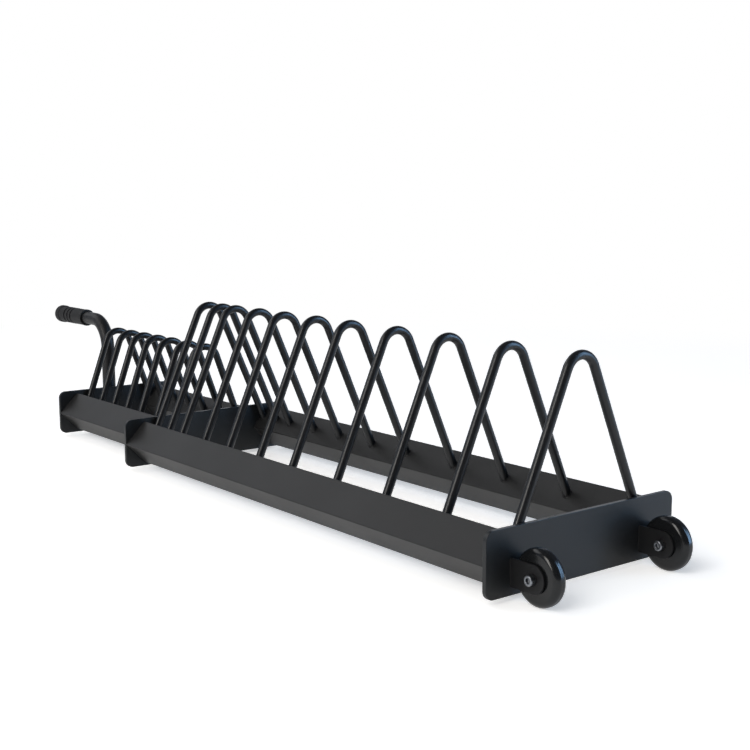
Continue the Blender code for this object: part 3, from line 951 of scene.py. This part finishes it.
@dataclass
class Handle:
    """The bent tube behind the rear plate and the moulded grip on its end."""

    coat: Dressing
    rubber: Dressing
    tube: float = 25 * MM
    root_bend: float = 28 * MM
    top_bend: float = 52.5 * MM
    standoff: float = 33 * MM
    """Distance from the rear plate to the middle of the upright post."""
    sides: int = 40
    root_steps: int = 14
    top_steps: int = 22
    bead: WeldBead = WeldBead(1.8 * MM)
    rim_length: float = 6 * MM
    rim_radius: float = 16.5 * MM
    rim_round: float = 0.9 * MM
    body_radius: float = 16 * MM
    flange_radius: float = 17.5 * MM
    flange_length: float = 18 * MM
    flange_round: float = 5 * MM
    flange_steps: int = 8
    end_wall: float = 10 * MM
    groove_width: float = 4.4 * MM
    groove_depth: float = 2.8 * MM
    first_groove: float = 50.6 * MM
    groove_pitch: float = 14.5 * MM
    grooves: int = 3

    def build(self) -> list[Piece]:
        """Build the tube, its weld and the grip."""
        return [self.build_tube(), self.build_weld(), self.build_grip()]

    def root(self) -> Vector:
        """The middle of the tube's lower end, on the rear plate's face."""
        box = Box("handle_tube")
        return Vector((box.high.x + SEAT_GAP, 0.0, box.low.z + self.tube / 2))

    def build_tube(self) -> Piece:
        """Bend the tube from its root to the blind end inside the grip.

        Returns:
            The tube.
        """
        box = Box("handle_tube")
        root = self.root()
        level = box.high.z - self.tube / 2
        post = Box("rear_plate").low.x - self.standoff
        lower = Vector((post + self.root_bend, 0.0, root.z + self.root_bend))
        upper = Vector((post - self.top_bend, 0.0, level - self.top_bend))
        straight = level - root.z - self.root_bend - self.top_bend
        shape = bmesh.new()
        ring = add_ring(shape, self.tube / 2, self.sides, facing(-ALONG, root))
        ring = push(shape, ring, -ALONG * (root.x - post - self.root_bend))
        ring = swing(shape, ring, lower, ACROSS, QUARTER, self.root_steps)
        ring = push(shape, ring, Vector((0.0, 0.0, straight)))
        ring = swing(shape, ring, upper, -ACROSS, QUARTER, self.top_steps)
        push(shape, ring, -ALONG * (post - self.top_bend - box.low.x))
        ends = [edge for edge in shape.edges if edge.is_boundary]
        bmesh.ops.holes_fill(shape, edges=ends, sides=self.sides)
        return self.coat.put_on(shape, "handle_tube")

    def build_weld(self) -> Piece:
        """Lay the weld round the tube's root.

        Returns:
            The bead.
        """
        shape = bmesh.new()
        root = self.root()
        seam = arc((root.y, root.z), self.tube / 2, 0.0, math.tau, self.sides)[:-1]
        self.bead.lay(shape, [Vector((root.x, y, z)) for y, z in seam])
        return self.coat.finish(shape, "handle_root_weld")

    def build_grip(self) -> Piece:
        """Turn the grip: an open rim, a body with grooves and a round flange at the closed end.

        Returns:
            The grip.
        """
        box = Box("handle_grip")
        length = box.high.x - box.low.x
        bore = self.tube / 2 + EASE
        soft = self.rim_round
        profile: list[Point] = [(bore, 1.2 * MM), (bore + 0.8 * MM, 0.0), (self.rim_radius - soft, 0.0)]
        profile += [(self.rim_radius - 0.25 * soft, 0.25 * soft), (self.rim_radius, soft)]
        profile += [(self.rim_radius, self.rim_length), (self.body_radius, self.rim_length + 1.4 * MM)]
        for number in range(self.grooves):
            profile += self.groove_section(self.first_groove + number * self.groove_pitch)
        flange = length - self.flange_length
        profile += [(self.body_radius, flange - 1.2 * MM), (self.flange_radius - 0.4 * MM, flange)]
        profile.append((self.flange_radius, flange + 1.2 * MM))
        centre = (self.flange_radius - self.flange_round, length - self.flange_round)
        profile += arc(centre, self.flange_round, 0.0, QUARTER, self.flange_steps)
        profile += [(0.0, length), (0.0, length - self.end_wall), (bore, length - self.end_wall)]
        start = Matrix.Translation((box.high.x, 0.0, (box.low.z + box.high.z) / 2))
        shape = lathe(profile, TURNS_FINE, start @ Matrix.Rotation(QUARTER, 4, "Z"))
        return self.rubber.put_on(shape, "handle_grip")

    def groove_section(self, middle: float) -> list[Point]:
        """The profile's points across one groove with round lips.

        Args:
            middle: The groove's distance from the grip's open end.

        Returns:
            The points from lip to lip.
        """
        half = self.groove_width / 2
        floor = self.body_radius - self.groove_depth
        lip = self.body_radius + 0.25 * MM
        first = [
            (self.body_radius, -half - 1.6 * MM),
            (lip, -half - 0.7 * MM),
            (lip - 0.3 * MM, -half),
            (floor + 0.2 * MM, -0.8 * half),
            (floor, -0.6 * half),
        ]
        return [(radius, middle + along) for radius, along in first + mirrored(first)]


# Wheels


@dataclass
class WheelFinishes:
    """What the pieces of one wheel set are dressed in."""

    tyre: Dressing
    core: Dressing
    bearing: Dressing
    zinc: Dressing
    ear: Dressing


class RingStack:
    """A skin that is built from rings round an axis along Y."""

    def __init__(self, base: Vector) -> None:
        """Start an empty shape, given the point on its axis from which distances count."""
        self.base = base
        self.shape = bmesh.new()

    def place(self, along: float) -> Matrix:
        """Where a ring lies, given its distance along the axis."""
        return Matrix.Translation(self.base + ACROSS * along) @ ROUND_Y

    def ring(self, radius: float, along: float) -> list[BMEdge]:
        """Add a round ring at a distance along the axis."""
        return add_ring(self.shape, radius, TURNS_FINE, self.place(along))

    def hexagon(self, flats: float, along: float) -> list[BMEdge]:
        """Add a hexagon with as many edges as a round ring.

        Args:
            flats: Its width across flats.
            along: Its distance along the axis.

        Returns:
            Its edges.
        """
        known = set(self.shape.edges)
        rim = add_ring(self.shape, flats / math.sqrt(3), 6, self.place(along))
        bmesh.ops.subdivide_edges(self.shape, edges=rim, cuts=TURNS_FINE // 6 - 1)
        return [edge for edge in self.shape.edges if edge not in known]

    def reach(self, corner: BMVert) -> Vector:
        """The way from the axis out to a corner."""
        return Vector((corner.co.x - self.base.x, 0.0, corner.co.z - self.base.z))


@dataclass
class WheelSet:
    """One wheel with its tyre, core, bearings and fixings, and the two ears that carry it."""

    side: Side
    finishes: WheelFinishes
    ends: tuple[str, ...] = ("outer", "inner")
    rounding: float = 7.5 * MM
    rounding_steps: int = 12
    mould_line: float = 0.12 * MM
    core_radius: float = 15.5 * MM
    core_dish: float = 0.8 * MM
    bearing_ring: float = 1.1 * MM
    bolt_radius: float = 4 * MM
    head_radius: float = 6.5 * MM
    head_height: float = 8 * MM
    head_round: float = 1.5 * MM
    knurl_depth: float = 0.22 * MM
    socket_flats: float = 6 * MM
    socket_depth: float = 4 * MM
    socket_chamfer: float = 0.3 * MM
    drill_tip: float = 1.2 * MM
    thread_pitch: float = 1.25 * MM
    thread_depth: float = 0.62
    """Depth of the thread as a share of its pitch."""
    nut_flats: float = 13 * MM
    nut_hex_height: float = 5.6 * MM
    nut_chamfer: float = math.radians(30.0)
    collar_radius: float = 5.7 * MM
    ear_radius: float = 17 * MM
    ear_bead: WeldBead = WeldBead(0.9 * MM, bare=0.03, steps=30)

    def build(self) -> list[Piece]:
        """Build every piece of the wheel set.

        Returns:
            The pieces.
        """
        pieces = [self.build_tyre(), self.build_core()]
        for end in self.ends:
            pieces.append(self.build_bearing(end))
            pieces.append(self.build_sleeve(f"axle_washer_{self.side.value}_{end}", 0.2 * MM))
            pieces.append(self.build_ear(end))
        pieces.append(self.build_sleeve(f"axle_spacer_{self.side.value}", 0.3 * MM))
        return [*pieces, self.build_screw(), *self.build_nut(), self.build_ear_welds()]

    @property
    def axle(self) -> Vector:
        """The middle of the wheel."""
        return Box(f"tyre_{self.side.value}").middle

    def build_tyre(self) -> Piece:
        """Turn the tyre, with round shoulders and a fine mould line round its tread.

        Returns:
            The tyre.
        """
        node = f"tyre_{self.side.value}"
        box = Box(node)
        outer, half, seat, line = box.radius, box.half_width, self.core_radius, self.mould_line
        soft = 0.6 * MM
        profile: list[Point] = [(seat + soft, -half)]
        centre = (outer - self.rounding, self.rounding - half)
        profile += arc(centre, self.rounding, -QUARTER, 0.0, self.rounding_steps)
        profile += [(outer - line, -2 * line), (outer, 0.0), (outer - line, 2 * line)]
        profile += mirrored(profile[:-3])
        profile += [(seat, half - soft), (seat, soft - half)]
        shape = lathe(profile, 2 * TURNS_FINE, Matrix.Translation(self.axle))
        return self.finishes.tyre.put_on(shape, node, self.side.wheel)

    def build_core(self) -> Piece:
        """Turn the core: a dished disc between the bearing's seat and the tyre.

        Returns:
            The core.
        """
        node = f"wheel_core_{self.side.value}"
        half = Box(node).half_width
        bearing = Box(f"wheel_bearing_{self.side.value}_outer")
        seat = bearing.radius + EASE
        inner_face = min(abs(side.y - self.axle.y) for side in (bearing.low, bearing.high))
        rim = self.core_radius - 0.02 * MM
        dish = half - self.core_dish
        lip = half - 0.2 * MM
        upper: list[Point] = [(rim, half), (rim - 1.4 * MM, half), (rim - 2.2 * MM, dish)]
        upper += [(seat + 2.4 * MM, dish), (seat + 1.7 * MM, lip), (seat, lip)]
        upper += [(seat, inner_face), (seat - 1.6 * MM, inner_face)]
        shape = lathe(upper + mirrored(upper), TURNS_FINE, Matrix.Translation(self.axle))
        soften(shape, 0.25 * MM)
        return self.finishes.core.put_on(shape, node, self.side.wheel)

    def build_bearing(self, end: str) -> Piece:
        """Turn a shielded bearing: two rings with a crimped shield between them.

        Args:
            end: Which of the wheel's two bearings, outer or inner.

        Returns:
            The bearing.
        """
        node = f"wheel_bearing_{self.side.value}_{end}"
        box = Box(node)
        half = box.half_width
        bore = self.bolt_radius + EASE
        outside, inside = box.radius - self.bearing_ring, bore + self.bearing_ring
        deep = half - 0.35 * MM
        shield = deep - 0.15 * MM
        upper: list[Point] = [(box.radius, half), (outside, half), (outside, deep)]
        upper += [(outside - 0.45 * MM, shield), (inside + 0.4 * MM, shield)]
        upper += [(inside, deep - 0.3 * MM), (inside, half), (bore, half)]
        shape = lathe(upper + mirrored(upper), TURNS_FINE, Matrix.Translation(box.middle))
        soften(shape, 0.15 * MM, sharper_than=70.0)
        return self.finishes.bearing.put_on(shape, node, self.side.wheel)

    def build_sleeve(self, node: str, round_edge: float) -> Piece:
        """Turn a spacer or a washer: a plain zinc ring in a node's box.

        Args:
            node: The node it stands for.
            round_edge: The width of its edges' rounding.

        Returns:
            The ring.
        """
        box = Box(node)
        upper = [(box.radius, box.half_width), (self.bolt_radius + 2 * EASE, box.half_width)]
        lower = mirrored(upper)
        shape = lathe(lower + upper, TURNS_PLAIN, Matrix.Translation(box.middle))
        soften(shape, round_edge)
        return self.finishes.zinc.put_on(shape, node)

    def build_ear(self, end: str) -> Piece:
        """Cut an ear from plate: round about the axle, straight to the front plate, and drilled.

        Args:
            end: Which of the wheel's two ears, outer or inner.

        Returns:
            The ear.
        """
        node = f"wheel_ear_{self.side.value}_{end}"
        box = Box(node)
        axle = self.axle
        shape = bmesh.new()
        place = Matrix.Translation((axle.x, box.low.y, axle.z)) @ ROUND_Y
        outline = add_ring(shape, self.ear_radius, TURNS_FINE, place)
        behind = [corner for corner in corners_of(outline) if corner.co.x < axle.x - 0.1 * MM]
        bmesh.ops.delete(shape, geom=behind, context="VERTS")
        ends = [corner for corner in shape.verts if len(corner.link_edges) == 1]
        reached = bmesh.ops.extrude_vert_indiv(shape, verts=ends)["verts"]
        for corner in reached:
            corner.co.x = box.low.x - SEAT_GAP
        shape.edges.new(reached)
        add_ring(shape, self.bolt_radius + 4 * EASE, TURNS_PLAIN, place)
        bmesh.ops.triangle_fill(shape, use_beauty=True, edges=list(shape.edges))
        thicken(shape, box.high.y - box.low.y)
        bmesh.ops.recalc_face_normals(shape, faces=shape.faces)
        soften(shape, 0.3 * MM, sharper_than=60.0)
        return self.finishes.ear.put_on(shape, node)

    def build_ear_welds(self) -> Piece:
        """Lay the welds that join the two ears to the front plate, on the sides away from the wheel.

        Returns:
            One piece that holds both beads.
        """
        shape = bmesh.new()
        for end in self.ends:
            box = Box(f"wheel_ear_{self.side.value}_{end}")
            free_side = max((box.low.y, box.high.y), key=lambda y: abs(y - self.axle.y))
            start, stop = (Vector((box.low.x - SEAT_GAP, free_side, z)) for z in (box.low.z, box.high.z))
            self.ear_bead.lay_straight(shape, start, stop)
        return self.finishes.ear.finish(shape, f"wheel_ear_welds_{self.side.value}")

    def build_screw(self) -> Piece:
        """Build the socket head screw: a knurled head with a hexagon socket, and a threaded shank.

        Returns:
            The screw.
        """
        node = f"axle_bolt_{self.side.value}"
        box = Box(node)
        axle = self.axle
        end = box.high.y
        shape = self.screw_head(Vector((axle.x, box.low.y, axle.z)))
        neck = box.low.y + self.head_height - 0.2 * MM
        root = self.bolt_radius - self.thread_depth * self.thread_pitch
        cut = Box(f"axle_nut_{self.side.value}").low.y
        profile: list[Point] = [(0.0, neck), (self.bolt_radius, neck), (self.bolt_radius, cut)]
        profile += [(root, cut + 0.4 * MM), (root, end - 0.5 * MM), (root - 0.5 * MM, end), (0.0, end)]
        place = Matrix.Translation((axle.x, 0.0, axle.z))
        join_into(shape, lathe(profile, TURNS_PLAIN, place, closed=False))
        join_into(shape, self.thread(cut + 0.6 * MM, end - 0.7 * MM, root))
        return self.finishes.zinc.put_on(shape, node)

    def screw_head(self, top: Vector) -> BMesh:
        """Shape the screw's head.

        Args:
            top: The middle of the head's free face.

        Returns:
            The head as a closed shape.
        """
        head = RingStack(top)
        shape = head.shape
        socket = head.hexagon(self.socket_flats, 0.0)
        lip = head.ring(self.socket_flats / math.sqrt(3) + 0.35 * MM, 0.0)
        bmesh.ops.translate(shape, vec=ACROSS * self.socket_chamfer, verts=corners_of(socket))
        rings = [lip]
        for step in range(4):
            angle = QUARTER * step / 3
            radius = self.head_radius - self.head_round * (1 - math.sin(angle))
            rings.append(head.ring(radius, self.head_round * (1 - math.cos(angle))))
        for depth in (self.head_round + 0.3 * MM, self.head_height - 0.6 * MM):
            rings.append(head.ring(self.head_radius, depth))
            self.flute(head, rings[-1])
        rings.append(head.ring(self.head_radius - 0.25 * MM, self.head_height))
        bridge(shape, [socket, *rings])
        bmesh.ops.holes_fill(shape, edges=rings[-1], sides=TURNS_FINE)
        floor = push(shape, socket, ACROSS * (self.socket_depth - self.socket_chamfer))
        tip = push(shape, floor, ACROSS * self.drill_tip)
        deepest = top + ACROSS * (self.socket_depth + self.drill_tip)
        bmesh.ops.pointmerge(shape, verts=corners_of(tip), merge_co=deepest)
        return shape

    def flute(self, head: RingStack, ring: Sequence[BMEdge]) -> None:
        """Pull every other corner of a ring inwards, for a knurl.

        Args:
            head: The head that the ring belongs to.
            ring: The ring's edges.
        """
        for corner in corners_of(ring):
            out = head.reach(corner)
            step = round(math.atan2(out.z, out.x) / math.tau * TURNS_FINE)
            if step % 2:
                corner.co -= out.normalized() * self.knurl_depth

    def thread(self, start: float, stop: float, root: float) -> BMesh:
        """Cut the thread as one ridge that winds round the shank.

        Args:
            start: Where it starts along Y.
            stop: Where it ends along Y.
            root: The radius at the bottom of the thread.

        Returns:
            The ridge as a closed shape.
        """
        shape = bmesh.new()
        axle = self.axle
        half = self.thread_pitch / 2 - 0.02 * MM
        spots = [(root - 0.1 * MM, -half), (self.bolt_radius, 0.0), (root - 0.1 * MM, half)]
        corners = [shape.verts.new((axle.x + radius, start + along, axle.z)) for radius, along in spots]
        edges = [shape.edges.new(pair) for pair in zip(corners, corners[1:] + corners[:1])]
        turns = (stop - start) / self.thread_pitch
        steps = round(turns * TURNS_PLAIN)
        bmesh.ops.spin(
            shape,
            geom=[*corners, *edges],
            cent=(axle.x, start, axle.z),
            axis=ACROSS,
            dvec=ACROSS * ((stop - start) / steps),
            angle=math.tau * turns,
            steps=steps,
            use_merge=False,
        )
        bmesh.ops.holes_fill(shape, edges=[edge for edge in shape.edges if edge.is_boundary], sides=3)
        return shape

    def build_nut(self) -> list[Piece]:
        """Build the lock nut: a chamfered hexagon, a round collar, and the nylon ring inside it.

        Returns:
            The nut and its nylon ring.
        """
        node = f"axle_nut_{self.side.value}"
        box = Box(node)
        axle = self.axle
        nut = RingStack(Vector((axle.x, box.low.y, axle.z)))
        hex_top, total = self.nut_hex_height, box.high.y - box.low.y
        face = self.nut_flats / 2 - 0.25 * MM
        bore = self.bolt_radius + EASE
        lip = self.collar_radius - 0.9 * MM
        recess = total - 0.5 * MM
        rings = [nut.ring(bore, 0.3 * MM), nut.ring(bore + 0.4 * MM, 0.0), nut.ring(face, 0.0)]
        rings += [self.nut_rim(nut, 0.0, -1.0, face), self.nut_rim(nut, hex_top, 1.0, face)]
        rings += [nut.ring(face, hex_top), nut.ring(self.collar_radius, hex_top)]
        rings += [nut.ring(self.collar_radius, total - 1.0 * MM)]
        rings += [nut.ring(self.collar_radius - 0.3 * MM, total - 0.25 * MM), nut.ring(lip, total)]
        rings += [nut.ring(lip, recess), nut.ring(bore, recess)]
        bridge(nut.shape, rings, closed=True)
        half = 0.45 * MM
        upper = [(lip - 0.02 * MM, half), (bore, half)]
        place = Matrix.Translation((axle.x, box.high.y - 0.75 * MM, axle.z))
        insert = lathe(mirrored(upper) + upper, TURNS_PLAIN, place)
        return [
            self.finishes.zinc.put_on(nut.shape, node),
            self.finishes.core.finish(insert, f"nut_insert_{self.side.value}"),
        ]

    def nut_rim(self, nut: RingStack, height: float, slope: float, face_radius: float) -> list[BMEdge]:
        """Add one of the hexagon's rims, which drops towards its corners as a chamfer does.

        Args:
            nut: The nut in the making.
            height: The rim's height above the nut's seat.
            slope: 1 for the upper rim and -1 for the lower one.
            face_radius: Where the chamfer starts.

        Returns:
            The rim's edges.
        """
        rim = nut.hexagon(self.nut_flats, height)
        for corner in corners_of(rim):
            beyond = max(0.0, nut.reach(corner).length - face_radius)
            corner.co.y -= slope * beyond * math.tan(self.nut_chamfer)
        return rim


# Rear foot


@dataclass
class RearFoot:
    """The rubber channel on the rear plate's lower edge, with a ribbed sole."""

    rubber: Dressing
    rib_pitch: float = 2.4 * MM
    rib_depth: float = 0.6 * MM
    rib_slope: float = 0.2 * MM

    def build(self) -> list[Piece]:
        """Extrude the channel in its node's box.

        Returns:
            The foot, as a list of one.
        """
        box, plate = Box("rear_foot"), Box("rear_plate")
        half = (box.high.x - box.low.x) / 2
        slot = (plate.high.x - plate.low.x) / 2 + EASE
        sole, lip = box.low.z, box.high.z
        right: list[Point] = []
        for rib in range(2):
            edge = self.rib_pitch * (rib + 0.25)
            rise, far = sole + self.rib_depth, edge + self.rib_pitch / 2
            right += [(edge, sole), (edge + self.rib_slope, rise), (far - self.rib_slope, rise), (far, sole)]
        right += [(2.25 * self.rib_pitch, sole), (half - 0.4 * MM, sole), (half, sole + 0.8 * MM)]
        right += [(half, lip - 1.0 * MM), (half - 0.9 * MM, lip), (slot + 0.3 * MM, lip)]
        right += [(slot, lip - 0.4 * MM), (slot, plate.low.z)]
        outline = right + [(-x, z) for x, z in reversed(right)]
        shape = bmesh.new()
        shape.faces.new([shape.verts.new((box.middle.x + x, box.low.y, z)) for x, z in outline])
        thicken(shape, box.high.y - box.low.y)
        return [self.rubber.put_on(shape, "rear_foot")]


# Studio


@dataclass
class SoftBox:
    """A large soft lamp."""

    name: str
    bearing: float
    """Degrees round from +X towards +Y."""
    elevation: float
    width: float
    height: float
    radiance: float
    colour: str
    in_gloss: bool = True
    """Whether it shows in things that shine."""
    in_shade: bool = True
    """Whether it lights things and throws their shadows."""
    distance: float = 8.0

    def hang(self, aim: Vector) -> None:
        """Place the lamp so that it faces the cart.

        Args:
            aim: The point that it faces.
        """
        lamp = bpy.data.lights.new(self.name, "AREA")
        lamp.shape = "RECTANGLE"
        lamp.size = self.width
        lamp.size_y = self.height
        lamp.energy = self.radiance * math.pi * self.width * self.height
        lamp.color = linear(self.colour)[:3]
        bearing, rise = math.radians(self.bearing), math.radians(self.elevation)
        level = math.cos(rise)
        way = Vector((math.cos(bearing) * level, math.sin(bearing) * level, math.sin(rise)))
        holder = bpy.data.objects.new(self.name, lamp)
        holder.location = aim + way * self.distance
        holder.rotation_euler = way.to_track_quat("Z", "Y").to_euler()
        holder.visible_glossy = self.in_gloss
        holder.visible_diffuse = self.in_shade
        holder.visible_camera = False
        bpy.context.scene.collection.objects.link(holder)


@dataclass
class Studio:
    """A plain white studio: a pale floor, large soft boxes, and a room that is darker behind the camera."""

    floor_radius: float = 12.0
    floor_colours: tuple[str, str] = ("FEFDFB", "FFFEFC")
    floor_haze: float = 2 / 3
    """Width of the clouds between these two colours."""
    aim: tuple[float, float, float] = (0.1, 0.0, 0.1)
    """The point that the lamps face."""
    far_wall: float = 0.30
    """Strength of the room's wall beyond the cart."""
    near_wall: float = 0.06
    """Strength of its wall on the camera's side."""
    near_side: tuple[float, float, float] = (0.90, -0.43, 0.0)
    """Way from the cart to that side."""
    turn: Point = (-0.3, 0.6)
    """Cosines of the angles from that way between which the wall goes from far to near."""
    wall_top: float = 16.0
    """Degrees above the horizon up to which the walls have their full strength."""
    ceiling_from: float = 42.0
    ceiling: float = 0.28
    """Share of the walls' strength that is left overhead."""
    room_colour: str = "CCDEFF"
    floor_lift: float = 0.48
    """How much the floor's own white is lifted where it is looked at."""
    mirrored_lift: float = 0.60
    """Share of that which things that shine mirror."""
    mirrored_white: float = 0.06
    """Share of the surround's white that things that shine mirror. The room's walls are the rest."""
    fade: Point = (1.3, 2.6)
    """Distances from the cart's middle over which the floor turns to the surround's white."""
    soft_boxes: tuple[SoftBox, ...] = (
        SoftBox("side_soft_box", -91.0, 26.0, 2.5, 5.5, 6.6, "FFFBF6", in_shade=False),
        SoftBox("handle_end_soft_box", -155.0, 38.0, 7.0, 4.2, 1.45, "FFFFFF"),
        SoftBox("blue_soft_box", 47.0, 20.0, 1.9, 6.2, 11.0, "A4D1FF", in_shade=False),
        SoftBox("blue_fill_box", 42.0, 27.0, 3.0, 3.0, 3.2, "A8D4FF", in_gloss=False),
        SoftBox("front_fill_box", -74.0, 36.0, 5.0, 5.0, 4.3, "FFFDFA", in_gloss=False),
        SoftBox("backdrop_soft_box", 142.0, 15.0, 5.8, 2.8, 1.1, "FFFFFF", in_shade=False),
        SoftBox("overhead_soft_box", -112.0, 62.0, 8.5, 8.5, 0.8, "FFFDFB", in_gloss=False),
    )

    def build(self) -> None:
        """Lay the floor, and set the lamps and the surround."""
        self.lay_floor()
        for soft_box in self.soft_boxes:
            soft_box.hang(Vector(self.aim))
        self.set_surround()
        bpy.context.scene.view_settings.view_transform = "Standard"

    @staticmethod
    def looked_at(nodes: Nodes, mirrored: float) -> Socket:
        """Tell the rays that look at the studio from those that light the cart.

        Args:
            nodes: The tree that gets the nodes.
            mirrored: The result for rays that a shiny surface sends on.

        Returns:
            An output that is one for rays from the camera or through glass.
        """
        rays = nodes.tree.nodes.new("ShaderNodeLightPath").outputs
        seen = nodes.compute("MAXIMUM", rays["Is Camera Ray"], rays["Is Transmission Ray"])
        share = nodes.compute("MULTIPLY", rays["Is Glossy Ray"], mirrored)
        return nodes.compute("MAXIMUM", seen, share)

    def lay_floor(self) -> None:
        """Lay a round white floor that keeps the cart's shadow."""
        vinyl = Surface("studio_floor_white_vinyl")
        haze = vinyl.noise(vinyl.place, self.floor_haze, 2.0)
        shade = vinyl.blend(haze, *map(linear, self.floor_colours))
        material = vinyl.finished({"Base Color": shade}, {"Roughness": 0.9, "Specular IOR Level": 0.1})
        plain = vinyl.shader.outputs[0]
        glow = vinyl.add("ShaderNodeEmission", values={"Strength": self.floor_lift})
        lifted = vinyl.add("ShaderNodeAddShader", {0: plain, 1: glow})
        white = vinyl.add("ShaderNodeEmission", values={"Strength": 1.0})
        reach = vinyl.add("ShaderNodeVectorMath", {0: vinyl.place}, out="Value", operation="LENGTH")
        fade = vinyl.remap(reach, self.fade, (0.0, 1.0), "SMOOTHSTEP")
        faded = vinyl.add("ShaderNodeMixShader", {0: fade, 1: lifted, 2: white})
        looked_at = self.looked_at(vinyl, self.mirrored_lift)
        floor = vinyl.add("ShaderNodeMixShader", {0: looked_at, 1: plain, 2: faded})
        vinyl.feed(vinyl.tree.nodes["Material Output"], {"Surface": floor}, {})
        shape = bmesh.new()
        bmesh.ops.create_circle(shape, cap_ends=True, radius=self.floor_radius, segments=96)
        show(shape, "studio_floor", material)

    def set_surround(self) -> None:
        """Make the world: it looks white, and lights the cart with pale walls and a dark ceiling."""
        world = bpy.data.worlds.new("studio_surround")
        world.use_nodes = True
        bpy.context.scene.world = world
        nodes = Nodes(world.node_tree)
        way = nodes.add("ShaderNodeTexCoord", out="Generated")
        rise = nodes.add("ShaderNodeSeparateXYZ", {"Vector": way}, out="Z")
        limits = (math.sin(math.radians(self.wall_top)), math.sin(math.radians(self.ceiling_from)))
        above = nodes.remap(rise, limits, (1.0, self.ceiling), "SMOOTHSTEP")
        near = nodes.add(
            "ShaderNodeVectorMath", {0: way}, {1: self.near_side}, "Value", operation="DOT_PRODUCT"
        )
        side = nodes.remap(near, self.turn, (self.far_wall, self.near_wall), "SMOOTHSTEP")
        glow = nodes.compute("MULTIPLY", above, side)
        white = world.node_tree.nodes["Background"]
        nodes.feed(white, {}, {"Color": (1.0, 1.0, 1.0, 1.0), "Strength": 1.0})
        room_colour = {"Color": linear(self.room_colour)}
        room = nodes.add("ShaderNodeBackground", {"Strength": glow}, room_colour)
        looked_at = self.looked_at(nodes, self.mirrored_white)
        chosen = nodes.add("ShaderNodeMixShader", {0: looked_at, 1: room, 2: white.outputs[0]})
        nodes.feed(world.node_tree.nodes["World Output"], {"Surface": chosen}, {})


@dataclass
class PhotoCamera:
    """The camera at the photograph's place, as fitted to the straight edges of plates and rails."""

    place: tuple[float, float, float] = (1.6570, -1.0583, 0.4522)
    heading: float = 52.060
    """Degrees from +Y towards -X."""
    drop: float = 8.298
    """Degrees below the horizon."""
    roll: float = -0.151
    lens: float = 58.643
    sensor: float = 36.0

    def build(self) -> None:
        """Make the camera and set it as the scene's own."""
        lens = bpy.data.cameras.new("photo_camera")
        lens.lens = self.lens
        lens.sensor_width = self.sensor
        lens.clip_start = 0.05
        lens.clip_end = 100.0
        camera = bpy.data.objects.new("photo_camera", lens)
        camera.matrix_world = (
            Matrix.Translation(self.place)
            @ Matrix.Rotation(math.radians(self.heading), 4, "Z")
            @ Matrix.Rotation(math.radians(90.0 - self.drop), 4, "X")
            @ Matrix.Rotation(math.radians(self.roll), 4, "Z")
        )
        bpy.context.scene.collection.objects.link(camera)
        bpy.context.scene.camera = camera


def report(sub_assembly: str, pieces: Sequence[Piece]) -> None:
    """Write each piece of a sub-assembly to the log, with its count of faces."""
    for piece in pieces:
        LOG.info("%s: %s, %d faces", sub_assembly, piece.name, len(piece.data.polygons))


def wheel_finishes(side: Side, core: Dressing, ear: Dressing) -> WheelFinishes:
    """Make the finishes of one wheel set, whose marks run round its own axle.

    Args:
        side: The wheel's side.
        core: The nylon, which both wheels share.
        ear: The ears' coat, which they share too.

    Returns:
        The finishes.
    """
    word = side.value
    box = Box(f"tyre_{word}")
    tyre = CastPolyurethane(f"tyre_{word}_cast_polyurethane", "121314", box.middle, box.radius)
    steel = TurnedMetal(f"bearing_{word}_ground_steel", "9A9DA1", "8B8E92", box.middle, 0.28)
    zinc = TurnedMetal(f"screw_{word}_zinc_plate", "94979B", "7C7F84", box.middle, 0.30)
    return WheelFinishes(
        tyre=Dressing(tyre.material(), Slot.TYRE, "cast"),
        core=core,
        bearing=Dressing(steel.material(), Slot.BEARING, "ground"),
        zinc=Dressing(zinc.material(), Slot.ZINC, "plated"),
        ear=ear,
    )


def main() -> None:
    """Build the cart's pieces in order, from the plates to the rear foot, and then the studio."""
    logging.basicConfig(level=logging.INFO, format="%(name)s: %(message)s")
    coats = {
        Slot.PLATE: PowderCoat("plate_satin_powder_coat", "1D1F21", roughness=0.42, specular=0.40),
        Slot.RAIL: PowderCoat("rail_satin_powder_coat", "202020", roughness=0.50),
        Slot.HOOP: PowderCoat("hoop_satin_powder_coat", "131416", roughness=0.33, specular=0.46),
        Slot.HANDLE: PowderCoat("handle_satin_powder_coat", "181819"),
        Slot.EAR: PowderCoat("ear_satin_powder_coat", "1A1A1B", specular=0.25),
    }
    plate, rail, hoop, handle, ear = (
        Dressing(coat.material(), slot, "coated") for slot, coat in coats.items()
    )
    grip_rubber = MouldedRubber("grip_moulded_rubber", "111112", "19191A")
    foot_rubber = MouldedRubber("foot_extruded_rubber", "121212", "181818", roughness=0.8)
    grip = Dressing(grip_rubber.material(), Slot.GRIP, "moulded")
    foot = Dressing(foot_rubber.material(), Slot.FOOT, "extruded")
    core = Dressing(MouldedNylon("core_moulded_nylon", "101011").material(), Slot.CORE, "moulded")

    rails = Rails(rail)
    report("plates", Plates(plate).build())
    report("rails", rails.build())
    report("large hoops", HoopRow(hoop, "large_hoop", 11, "large_rail_left", rails, 17.7 * MM).build())
    report("small hoops", HoopRow(hoop, "small_hoop", 7, "small_rail_left", rails, 15.9 * MM).build())
    report("handle", Handle(handle, grip).build())
    for side in Side:
        report(f"{side.value} wheel", WheelSet(side, wheel_finishes(side, core, ear)).build())
    report("rear foot", RearFoot(foot).build())

    Studio().build()
    PhotoCamera().build()


if __name__ == "__main__":
    main()
